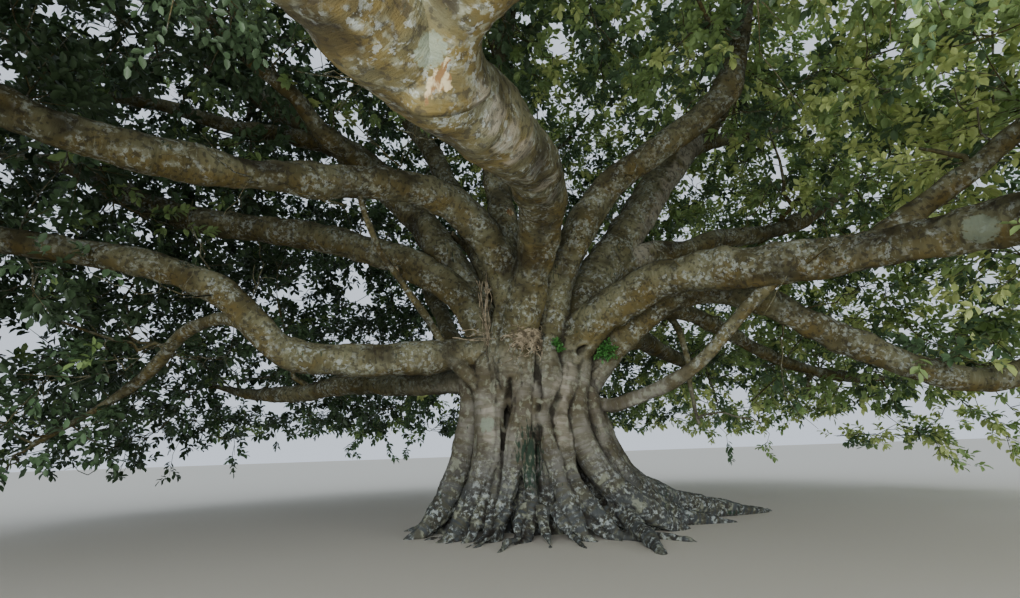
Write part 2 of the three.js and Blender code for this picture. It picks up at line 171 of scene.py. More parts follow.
# The columns of the trunk's front as knots of (bearing, distance out, height, radius), from the fork down to
# a toe; the last is a strut under the low left bough.
COLUMNS = (
    ((-170, 1.2, 3.2, 0.15), (-172, 1.4, 2.9, 0.18), (-172, 1.4, 2.4, 0.18), (-171, 1.45, 1.8, 0.2),
     (-170, 1.6, 1.14, 0.23), (-168, 1.8, 0.67, 0.24), (-166, 2.05, 0.33, 0.22), (-164, 2.35, 0.04, 0.14)),
    ((-143, 1.1, 3.3, 0.2), (-141, 1.22, 2.95, 0.26), (-141, 1.25, 2.5, 0.28), (-141, 1.25, 1.83, 0.28),
     (-142, 1.3, 1.3, 0.26), (-144, 1.45, 0.88, 0.21), (-145, 1.65, 0.5, 0.18), (-146, 1.8, 0.24, 0.16),
     (-146, 2.02, 0.0, 0.13)),
    ((-138, 1.24, 1.5, 0.14), (-138, 1.38, 0.85, 0.12), (-137, 1.55, 0.45, 0.1), (-136, 1.8, 0.02, 0.09)),
    ((-133, 1.2, 1.2, 0.09), (-132, 1.4, 0.5, 0.08), (-130, 1.6, 0.02, 0.07)),
    ((-120, 1.14, 4.2, 0.18), (-123, 1.2, 3.8, 0.21), (-126, 1.22, 3.4, 0.21), (-129, 1.2, 2.95, 0.2),
     (-131, 1.18, 2.65, 0.19), (-132, 1.16, 2.42, 0.22), (-136, 1.1, 2.15, 0.1)),
    ((-100, 1.22, 4.1, 0.18), (-103, 1.2, 3.6, 0.22), (-105, 1.15, 3.2, 0.22), (-107, 1.06, 2.7, 0.2),
     (-110, 0.99, 2.15, 0.2), (-117, 1.0, 1.6, 0.25), (-122, 1.08, 1.1, 0.2), (-124, 1.2, 0.7, 0.16),
     (-124, 1.38, 0.36, 0.14), (-125, 1.58, 0.02, 0.12)),
    ((-112, 0.92, 1.8, 0.18), (-106, 1.0, 1.26, 0.14), (-103, 1.14, 0.85, 0.1), (-102, 1.24, 0.56, 0.12),
     (-103, 1.36, 0.3, 0.14), (-105, 1.52, 0.02, 0.13)),
    ((-60, 0.75, 3.7, 0.2), (-80, 0.8, 3.25, 0.26), (-82, 0.95, 2.75, 0.25), (-87, 1.0, 2.38, 0.21),
     (-91, 1.0, 2.08, 0.15), (-87, 1.02, 1.6, 0.17), (-80, 1.12, 1.2, 0.16), (-77, 1.24, 0.85, 0.15),
     (-76, 1.38, 0.57, 0.14), (-74, 1.52, 0.3, 0.14), (-70, 1.68, 0.02, 0.12)),
    ((-38, 0.95, 3.4, 0.3), (-48, 0.88, 3.0, 0.28), (-60, 0.95, 2.5, 0.23), (-69, 1.0, 2.05, 0.18),
     (-70, 1.05, 1.63, 0.16), (-70, 1.17, 1.24, 0.14), (-69, 1.33, 0.9, 0.13), (-66, 1.5, 0.63, 0.13),
     (-60, 1.68, 0.34, 0.12), (-54, 1.92, 0.03, 0.1)),
    ((-30, 1.0, 3.2, 0.2), (-39, 1.05, 2.86, 0.18), (-50, 1.02, 2.3, 0.2), (-51, 1.08, 1.75, 0.22),
     (-48, 1.25, 1.28, 0.24), (-44, 1.5, 0.9, 0.23), (-38, 1.8, 0.56, 0.21), (-28, 2.1, 0.28, 0.17),
     (-18, 2.4, 0.02, 0.12)),
    ((-46, 1.05, 1.6, 0.17), (-42, 1.3, 0.98, 0.18), (-39, 1.55, 0.55, 0.17), (-47, 2.0, 0.24, 0.15),
     (-56, 2.6, 0.1, 0.11), (-62, 3.12, 0.0, 0.07)),
    ((-15, 0.85, 2.7, 0.3), (-25, 0.92, 2.04, 0.26), (-12, 1.1, 1.4, 0.27), (-2, 1.48, 0.88, 0.27),
     (6, 2.2, 0.52, 0.25), (11, 3.2, 0.26, 0.2), (15, 4.85, 0.0, 0.09)),
    ((-32, 0.95, 2.5, 0.28), (-30, 1.1, 1.7, 0.28), (-25, 1.4, 1.05, 0.26), (-14, 1.8, 0.55, 0.22),
     (-4, 2.5, 0.16, 0.15), (-1, 3.5, 0.0, 0.08)),
    ((-152, 2.15, 3.3, 0.1), (-148, 1.8, 2.98, 0.13), (-143, 1.42, 2.6, 0.15), (-139, 1.15, 2.25, 0.14)),
)

# Torn and cut places that are bare of bark, patches of smooth grey-green lichen, pale smooth places that
# also carry painted highlights, and rotted holes darkened with painted shade: x, y, z and how far each
# reaches.
SCARS = (
    (-0.91, -7.57, 4.29, 0.04), (-0.95, -7.53, 4.25, 0.06), (-0.98, -7.5, 4.22, 0.07),
    (-0.94, -7.45, 4.2, 0.07), (-1.02, -7.46, 4.18, 0.06), (-1.06, -7.42, 4.13, 0.05),
    (-1.1, -7.39, 4.1, 0.04), (-1.14, -7.35, 4.05, 0.03), (-0.43, -0.14, 6.39, 0.1),
    (-2.79, -0.68, 4.98, 0.085), (-1.78, 0.56, 6.24, 0.09), (1.0, -1.05, 0.4, 0.07),
)
PATCHES = (
    (-1.03, -7.67, 4.31, 0.14), (5.42, -4.62, 3.92, 0.2), (5.2, -4.5, 3.8, 0.14), (-0.99, -1.12, 1.9, 0.16),
)
SMOOTH_AND_HIGHLIT = (
    (0.4, -1.15, 2.5, 0.2), (0.37, -1.18, 2.2, 0.2), (0.37, -1.18, 1.9, 0.2), (0.4, -1.15, 1.6, 0.16),
    (-0.95, -1.05, 2.1, 0.14), (-0.93, -1.08, 1.7, 0.12), (0.55, -1.0, 2.8, 0.2), (-0.67, -7.1, 4.3, 0.18),
    (-0.56, -6.65, 4.4, 0.2), (-0.45, -6.3, 4.4, 0.2), (-0.3, -5.9, 4.45, 0.22), (-0.15, -5.2, 4.65, 0.22),
    (0.05, -4.3, 4.9, 0.22), (0.2, -3.4, 5.16, 0.2), (4.3, 1.1, 8.6, 0.36), (3.95, 0.98, 8.1, 0.38),
    (3.62, 0.88, 7.58, 0.4), (3.36, 0.8, 7.15, 0.4), (3.11, 0.72, 6.75, 0.4), (2.85, 0.64, 6.35, 0.38),
    (2.63, 0.57, 6.01, 0.36), (2.4, 0.5, 5.6, 0.34),
)
HOLES = (
    (0.8, -0.88, 3.19, 0.085), (0.86, -0.9, 3.24, 0.06), (1.0, -0.98, 0.54, 0.1),
    (-0.08, -1.16, 2.15, 0.07),
)

# Deep clefts between the trunk's front columns, sunk and darkened with painted shade: points down each,
# then its width and depth.
CLEFTS = (
    (((-0.55, -1.2, 2.68), (-0.6, -1.06, 2.35), (-0.66, -0.95, 1.95), (-0.7, -0.93, 1.5)), 0.06, 0.16),
    (((-0.04, -1.14, 3.12), (-0.05, -1.14, 2.6), (-0.01, -1.18, 2.34)), 0.045, 0.09),
    (((-0.08, -1.13, 1.78), (-0.07, -0.95, 1.29), (-0.08, -0.98, 0.6)), 0.08, 0.08),
)

# Thin limbs seen in the photograph: the bough each belongs to, start, heading there, tip, heading there and
# the radius at either end.
SPURS = (
    ("low_left", (-1.8, -0.82, 3.4), (-150, 60), (-3.0, -2.6, 5.75), (-108, 66), (0.085, 0.055)),
    ("rear_right", (3.0, 1.04, 4.35), (-10, -50), (3.52, 1.2, 1.85), (20, -74), (0.085, 0.035)),
    ("rear_right", (3.48, 1.2, 1.95), (-70, 30), (4.5, 0.6, 1.85), (-20, -20), (0.03, 0.012)),
    ("rear_right", (6.87, 2.7, 3.15), (0, -80), (6.8, 2.7, 2.45), (0, -85), (0.08, 0.03)),
    ("level_left", (-2.7, -0.15, 5.14), (-100, -10), (-2.79, -0.68, 4.98), (-100, -16), (0.09, 0.07)),
    ("rear_up", (-1.45, 1.0, 6.0), (-128, 20), (-1.78, 0.56, 6.24), (-128, 26), (0.1, 0.08)),
)

BOUGHS = tuple(BoughPlan(*row) for row in (
    ("great_right", (-37, 0.75, 3.1), (-42, 9.2, 4.1), (-33, 62), (-62, 8), (0.3, 0.4), (0.42, 0.27),
     (4.0, 2.9, 0.3)),
    ("great_right_fork", 0.66, (-36, 8.1, 5.5), (-28, 30), (-34, 34), (0.3, 0.3), (0.15, 0.12),
     (3.4, 2.6, 0.3), "great_right"),
    ("slim_right", (-14, 1.0, 2.3), (-32, 4.62, 4.05), (-38, -25), (-19, 41), (0.32, 0.28), (0.15, 0.09),
     None),
    ("arching_right", (-10, 0.8, 2.5), (-14, 8.6, 2.6), (-20, 54), (-17, 32), (0.74, 0.41), (0.34, 0.18),
     (3.8, 2.6, 0.3)),
    ("rear_right", (14, 0.8, 2.9), (21, 8.0, 3.0), (13, 43), (16, -10), (0.6, 0.58), (0.27, 0.13),
     (3.5, 2.5, 0.3)),
    ("right_up_rear", (10, 0.45, 2.6), (19, 5.6, 10.3), (8, 80), (19, 58), (0.32, 0.28), (0.56, 0.32),
     (3.8, 2.7, 0.3)),
    ("right_rear", 0.3, (16, 7.2, 6.8), (12, 26), (17, 24), (0.35, 0.35), (0.3, 0.19), (3.6, 2.6, 0.3),
     "right_up_rear"),
    ("right_rear_high", 0.74, (24, 8.2, 10.3), (26, 28), (24, 22), (0.35, 0.35), (0.22, 0.15),
     (3.5, 2.6, 0.3), "right_up_rear"),
    ("right_up_front", (-70, 0.6, 3.0), (-24, 4.4, 8.4), (-39, 86), (-21, 70), (0.66, 0.26), (0.36, 0.24),
     (3.8, 2.8, 0.3)),
    ("front", (-116, 1.12, 3.0), (-104, 9.4, 5.2), (-15, 75), (-126, 38), (0.66, 0.46), (0.36, 0.46),
     (3.8, 2.5, 0.3), "", 2.3),
    ("front_fork", 0.78, (-76, 9.3, 5.5), (-75, 12), (-50, 18), (0.35, 0.35), (0.36, 0.22), (3.8, 2.5, 0.3),
     "front"),
    ("front_right_mid", 0.4, (-66, 6.8, 7.8), (-30, 60), (-50, 40), (0.35, 0.3), (0.22, 0.15),
     (3.5, 2.6, 0.3), "front_fork"),
    ("front_left_mid", 0.78, (-122, 7.2, 7.8), (-170, 60), (-120, 44), (0.35, 0.3), (0.24, 0.15),
     (3.5, 2.6, 0.3), "front"),
    ("front_up", 0.5, (-118, 4.4, 9.6), (170, 60), (-95, 60), (0.35, 0.3), (0.24, 0.17), (3.6, 2.6, 0.3),
     "front"),
    ("long_left", (-110, 1.0, 3.0), (-140, 9.6, 6.0), (-167, 86), (-137, 24), (0.65, 0.54), (0.36, 0.24),
     (3.5, 3.0, 0.3), "", 2.3),
    ("low_left", (-144, 0.9, 3.3), (-160, 9.1, 4.9), (-166, -6), (-165, 5), (0.87, 0.8), (0.32, 0.2),
     (3.8, 2.7, 0.3)),
    ("drooping_left", 0.46, (-178, 8.0, 2.9), (-176, 40), (176, -36), (0.45, 0.3), (0.15, 0.09),
     (3.5, 2.4, 0.3), "low_left"),
    ("level_left", (-172, 0.8, 3.0), (-178, 9.5, 7.5), (-176, 75), (-178, 34), (0.42, 0.45), (0.36, 0.24),
     (4.0, 2.8, -0.9)),
    ("back_left", (164, 0.9, 2.8), (152, 8.2, 3.1), (162, 6), (150, 4), (0.35, 0.35), (0.3, 0.18),
     (3.8, 2.7, 0.3)),
    ("high_left", (172, 0.6, 2.9), (172, 7.4, 10.8), (170, 68), (174, 36), (0.42, 0.45), (0.42, 0.26),
     (4.0, 2.8, 0.3)),
    ("high_left_fork", 0.7, (-178, 9.6, 9.6), (178, 12), (-176, 14), (0.35, 0.35), (0.22, 0.15),
     (3.6, 2.6, 0.8), "high_left"),
    ("left_mid", 0.5, (-160, 6.0, 9.2), (-150, 34), (-150, 34), (0.35, 0.3), (0.22, 0.15), (3.7, 2.7, 0.3),
     "high_left"),
    ("rear_up", (146, 0.5, 3.0), (150, 3.4, 9.9), (148, 76), (150, 58), (0.35, 0.3), (0.36, 0.22),
     (3.8, 2.7, 0.3)),
    ("leader", (170, 0.2, 3.0), (140, 0.7, 10.8), (170, 84), (20, 76), (0.35, 0.3), (0.42, 0.24),
     (4.0, 2.6, 0.3)),
    ("back_up", (84, 0.6, 3.0), (84, 4.2, 9.7), (86, 72), (82, 48), (0.35, 0.3), (0.4, 0.22),
     (3.6, 2.6, 0.3)),
    ("back_right", (44, 0.8, 3.0), (51, 8.4, 3.9), (44, 40), (54, 2), (0.36, 0.36), (0.34, 0.2),
     (3.8, 2.8, 0.3)),
    ("back_right_mid", 0.35, (58, 6.4, 7.3), (60, 50), (58, 34), (0.35, 0.3), (0.24, 0.16), (3.6, 2.7, 0.3),
     "back_right"),
    ("back", (92, 0.8, 2.8), (85, 8.3, 3.7), (94, 30), (82, 0), (0.36, 0.36), (0.32, 0.2), (3.8, 2.8, 0.3)),
    ("back_far_left", (126, 0.8, 2.9), (118, 8.4, 3.9), (130, 34), (112, 4), (0.36, 0.36), (0.33, 0.2),
     (3.8, 2.8, 0.3)),
    ("back_left_mid", 0.35, (124, 6.4, 7.3), (128, 52), (124, 34), (0.35, 0.3), (0.24, 0.16), (3.6, 2.7, 0.3),
     "back_far_left"),
))


def linear(hex_colour: str) -> tuple[float, float, float, float]:
    """Turns an sRGB hex colour to linear.

    Args:
        hex_colour: Six hex digits, with or without a leading hash.

    Returns:
        Linear red, green, blue and an alpha of 1.
    """
    digits = hex_colour.lstrip("#")
    levels = (int(digits[i:i + 2], 16) / 255 for i in (0, 2, 4))
    red, green, blue = (c / 12.92 if c <= 0.04045 else ((c + 0.055) / 1.055) ** 2.4 for c in levels)
    return red, green, blue, 1.0


def seeded(seed: int) -> Iterator[float]:
    """Yields the same numbers from 0 to 1 as the part's own stream.

    Args:
        seed: Which stream.
    """
    state = (seed * 7919 + 12345) % STREAM_SIZE
    while True:
        state = (state * 16807) % STREAM_SIZE
        yield state / STREAM_SIZE


def heading(angles: Pair) -> np.ndarray:
    """The unit vector along a bearing that rises at an angle.

    Args:
        angles: Bearing and rise, in degrees.

    Returns:
        A vector of length 1.
    """
    turn, tilt = (math.radians(angle) for angle in angles)
    return np.array([math.cos(tilt) * math.cos(turn), math.cos(tilt) * math.sin(turn), math.sin(tilt)])


def place(where: Triple) -> np.ndarray:
    """The point at a bearing, a distance out from the trunk's axis and a height.

    Args:
        where: Bearing in degrees, then metres out and up.

    Returns:
        The point.
    """
    point = heading((where[0], 0)) * where[1]
    point[2] = where[2]
    return point


def unit(vectors: np.ndarray) -> np.ndarray:
    """Vectors scaled to length 1, along the last axis."""
    return vectors / np.maximum(np.linalg.norm(vectors, axis=-1, keepdims=True), 1e-9)


def read_off(at: np.ndarray, keys: np.ndarray, rows: np.ndarray) -> np.ndarray:
    """Rows of numbers read off at some places between keys."""
    return np.stack([np.interp(at, keys, column) for column in rows.T], axis=-1)


def noise(points: np.ndarray, seed: int) -> np.ndarray:
    """Smooth seeded noise on a unit lattice.

    Args:
        points: An array whose last axis is x, y, z, in lattice cells.
        seed: Which noise.

    Returns:
        Values from -1 to 1.
    """
    cell = np.floor(points).astype(np.int64)
    inner = points - cell
    weight = inner * inner * (3 - 2 * inner)
    total = np.zeros(points.shape[:-1])
    for corner in product((0, 1), repeat=3):
        x, y, z = np.moveaxis(cell + np.array(corner), -1, 0)
        mixed = (x * MIXERS[0] ^ y * MIXERS[1] ^ z * MIXERS[2] ^ seed * MIXERS[3]) & 0xFFFFFFFF
        mixed = ((mixed ^ (mixed >> 13)) * 1274126177) & 0xFFFFFFFF
        value = (mixed ^ (mixed >> 16)) / 2147483647.5 - 1
        total += value * np.prod(np.where(np.array(corner) == 1, weight, 1 - weight), axis=-1)
    return total


def layered(points: np.ndarray, seed: int, layers: int = 3) -> np.ndarray:
    """Noise with finer layers added, each half as strong and twice as fine.

    Args:
        points: An array whose last axis is x, y, z, in cells of the coarsest layer.
        seed: Which noise.
        layers: How many layers.

    Returns:
        Values mostly from -1 to 1.
    """
    return sum(noise(points * 2 ** k, seed + k) / 2 ** k for k in range(layers))


class Limb:
    """A tapering, slightly wavering limb along a cubic curve, by the part's own rule."""

    def __init__(self, start: np.ndarray, leaves: np.ndarray, tip: np.ndarray, ends: np.ndarray, pull: Pair,
                 girth: Pair, waver: float = 0.0, seed: int = 1) -> None:
        """Lays out the limb.

        Args:
            start: Where it begins.
            leaves: Unit heading there.
            tip: Where it ends.
            ends: Unit heading there.
            pull: How far it keeps to each heading, as shares of the straight distance.
            girth: Radius at either end.
            waver: How far it strays from the curve.
            seed: Which waver.
        """
        reach = float(np.linalg.norm(tip - start))
        self.handles = (start, start + leaves * pull[0] * reach, tip - ends * pull[1] * reach, tip)
        self.girth = girth
        draw = seeded(seed)
        self.waves = []
        for turns in (1.5, 2.5):
            phase = next(draw) * 2 * math.pi
            sway = np.array([next(draw) - 0.5, next(draw) - 0.5, next(draw) - 0.5]) * 2 * waver / turns
            self.waves.append((turns, phase, sway))

    @classmethod
    def laid(cls, start: Triple, leaves: Pair, tip: Triple, ends: Pair, *rest: Any) -> "Limb":
        """A limb whose places are (bearing, distance out, height) and whose headings are (bearing, rise)."""
        return cls(place(start), heading(leaves), place(tip), heading(ends), *rest)

    def points(self, t: np.ndarray) -> np.ndarray:
        """The centre line at shares t, as rows of x, y, z."""
        t = np.asarray(t, float)[:, None]
        a, b, c, d = self.handles
        line = a * (1 - t) ** 3 + 3 * b * t * (1 - t) ** 2 + 3 * c * t ** 2 * (1 - t) + d * t ** 3
        for turns, phase, sway in self.waves:
            line = line + sway * np.sin(np.pi * t) ** 2 * np.sin(2 * np.pi * turns * t + phase)
        return line

    def radii(self, t: np.ndarray) -> np.ndarray:
        """The radius at shares t."""
        return self.girth[0] + (self.girth[1] - self.girth[0]) * np.asarray(t, float) ** 0.8

    def length_to(self, point: np.ndarray, distance: float) -> float:
        """The length along the centre line to where it is first farther than a distance from a point."""
        t = np.arange(0, 1.005, 0.01)
        far = np.linalg.norm(self.points(t) - point, axis=1) >= distance
        line = self.points(np.linspace(0, t[np.argmax(far)], 30))
        return float(np.linalg.norm(np.diff(line, axis=0), axis=1).sum())


class Run:
    """A dense centre line with radii and a frame that doesn't twist, of one limb or several end to end."""

    def __init__(self, points: np.ndarray, radii: np.ndarray, side: Optional[np.ndarray] = None,
                 start: float = 0.0) -> None:
        """Measures the line and carries a frame along it.

        Args:
            points: Rows of x, y, z.
            radii: The radius at each.
            side: The frame's first direction at each point, where the line is part of a longer one.
            start: How far along the longer one it begins.
        """
        self.points = points
        self.radii = radii
        steps = np.linalg.norm(np.diff(points, axis=0), axis=1)
        self.distance = start + np.concatenate([[0], np.cumsum(steps)])
        self.tangent = unit(np.gradient(points, axis=0))
        if side is None:
            turned = np.cross(self.tangent[0], (0, 0, 1))
            turned = unit(turned if np.linalg.norm(turned) > 0.05 else np.array([1.0, 0, 0]))
            sides = []
            for tangent in self.tangent:
                turned = unit(turned - tangent * (turned @ tangent))
                sides.append(turned)
            side = np.array(sides)
        self.side = side
        self.over = np.cross(self.tangent, self.side)

    @classmethod
    def of(cls, *limbs: Limb, spacing: float = 0.05) -> "Run":
        """A run through limbs that follow one another.

        Args:
            limbs: The limbs in order of growth.
            spacing: The greatest distance between two points of the line.

        Returns:
            The run.
        """
        points, radii = [], []
        for limb in limbs:
            rough = limb.points(np.linspace(0, 1, 60))
            length = np.linalg.norm(np.diff(rough, axis=0), axis=1).sum()
            t = np.linspace(0, 1, max(8, int(length / spacing)))[1 if points else 0:]
            points.append(limb.points(t))
            radii.append(limb.radii(t))
        return cls(np.concatenate(points), np.concatenate(radii))

    @classmethod
    def through(cls, knots: Sequence[Spot]) -> "Run":
        """A smooth run through knots.

        Args:
            knots: Rows of bearing, distance out, height and radius.

        Returns:
            The run.
        """
        points = np.array([place(knot[:3]) for knot in knots])
        radii = np.array([knot[3] for knot in knots])
        slopes = np.gradient(points, axis=0)
        line, girth = [points[:1]], [radii[:1]]
        for k in range(len(points) - 1):
            t = np.linspace(0, 1, 11)[1:, None]
            line.append((1 + 2 * t) * (1 - t) ** 2 * points[k] + t * (1 - t) ** 2 * slopes[k]
                        + t ** 2 * (3 - 2 * t) * points[k + 1] + t ** 2 * (t - 1) * slopes[k + 1])
            girth.append(radii[k] + (radii[k + 1] - radii[k]) * t[:, 0])
        return cls(np.concatenate(line), np.concatenate(girth))

    @property
    def length(self) -> float:
        """The length along the line."""
        return float(self.distance[-1] - self.distance[0])

    def at(self, distance: np.ndarray) -> tuple[np.ndarray, ...]:
        """Points, tangents, sides, overs and radii at distances along the line."""
        rows = (read_off(distance, self.distance, values)
                for values in (self.points, self.tangent, self.side, self.over))
        return (*rows, np.interp(distance, self.distance, self.radii))

    def cut(self, low: float, high: float) -> "Run":
        """The part of the run between two distances along it."""
        keep = (self.distance >= low - 1e-6) & (self.distance <= high + 1e-6)
        return Run(self.points[keep], self.radii[keep], self.side[keep], self.distance[keep][0])

    def sunk(self, reach: float = 0.35) -> "Run":
        """The run led on past its end and down into the ground, so that it doesn't stop bluntly."""
        share = np.linspace(0, 1, 9)[1:, None]
        level = self.tangent[-1] * (1, 1, 0)
        beyond = self.points[-1] + unit(level) * reach * share - np.array([0, 0, 0.2]) * share ** 1.3
        thinner = self.radii[-1] * (1 - 0.3 * share[:, 0])
        return Run(np.vstack([self.points, beyond]), np.append(self.radii, thinner))

    def heeled(self, reach: float = 0.6) -> "Run":
        """The run with a rounded, tapering heel before its start that turns in towards the trunk's axis."""
        share = np.linspace(1, 0, 11)[:-1, None]
        inward = -unit(self.points[0] * (1, 1, 0))
        before = self.points[0] + (inward * 0.9 * share - self.tangent[0]) * reach * share
        return Run(np.vstack([before, self.points]),
                   np.append(self.radii[0] * np.sqrt(1 - 0.94 * share[:, 0] ** 2), self.radii),
                   np.vstack([np.repeat(self.side[:1], 10, axis=0), self.side]), self.distance[0] - reach)


class Kind(Enum):
    """The kinds of shader node that the finishes use: type, usual output, settings, and inputs in order."""

    PLACE = ("TexCoord", "Object", {}, ())
    NORMAL = ("NewGeometry", "Normal", {}, ())
    PAINTED = ("Attribute", "Fac", {}, ())
    RISE = ("SeparateXYZ", "Z", {}, ("Vector",))
    STRETCH = ("Mapping", "Vector", {}, ("Vector", "Scale"))
    NOISE = ("TexNoise", "Fac", {}, ("Vector", "Scale", "Detail", "Roughness"))
    STEP = ("MapRange", "Result", {"interpolation_type": "SMOOTHSTEP"}, ("Value", "From Min", "From Max"))
    TIMES = ("Math", "Value", {"operation": "MULTIPLY"}, (0, 1))
    TIMES_PLUS = ("Math", "Value", {"operation": "MULTIPLY_ADD"}, (0, 1, 2))
    MOST = ("Math", "Value", {"operation": "MAXIMUM"}, (0, 1))
    LAID = ("Mix", 2, {"data_type": "RGBA"}, (0, 6, 7))
    BUMP = ("Bump", "Normal", {}, ("Height", "Strength", "Distance"))


def add_node(tree: bpy.types.NodeTree, kind: Kind, *inputs: Any, output: str = "",
             **settings: Any) -> bpy.types.NodeSocket:
    """Adds a shader node with its settings and links.

    Args:
        tree: The material's node tree.
        kind: Which kind of node.
        inputs: A value or another node's output for each of that kind's inputs.
        output: The output wanted, where it isn't the usual one.
        settings: Attributes of the node, which go before the kind's own.

    Returns:
        The new node's output.
    """
    shader, usual, own, keys = kind.value
    node = tree.nodes.new("ShaderNode" + shader)
    for name, value in {**own, **settings}.items():
        setattr(node, name, value)
    for key, value in zip(keys, inputs):
        if isinstance(value, bpy.types.NodeSocket):
            tree.links.new(value, node.inputs[key])
        else:
            node.inputs[key].default_value = value
    return node.outputs[output or usual]


def new_material(name: str, values: dict[str, Any]) -> bpy.types.Material:
    """Makes a material.

    Args:
        name: Its name.
        values: What its shader's sockets are set to.

    Returns:
        The material.
    """
    material = bpy.data.materials.new(name)
    material.use_nodes = True
    for key, value in values.items():
        material.node_tree.nodes["Principled BSDF"].inputs[key].default_value = value
    return material


def link_shader(material: bpy.types.Material, colour: bpy.types.NodeSocket,
                bump: bpy.types.NodeSocket) -> None:
    """Gives a material's shader its colour and its bump."""
    shader = material.node_tree.nodes["Principled BSDF"]
    material.node_tree.links.new(colour, shader.inputs["Base Color"])
    material.node_tree.links.new(bump, shader.inputs["Normal"])


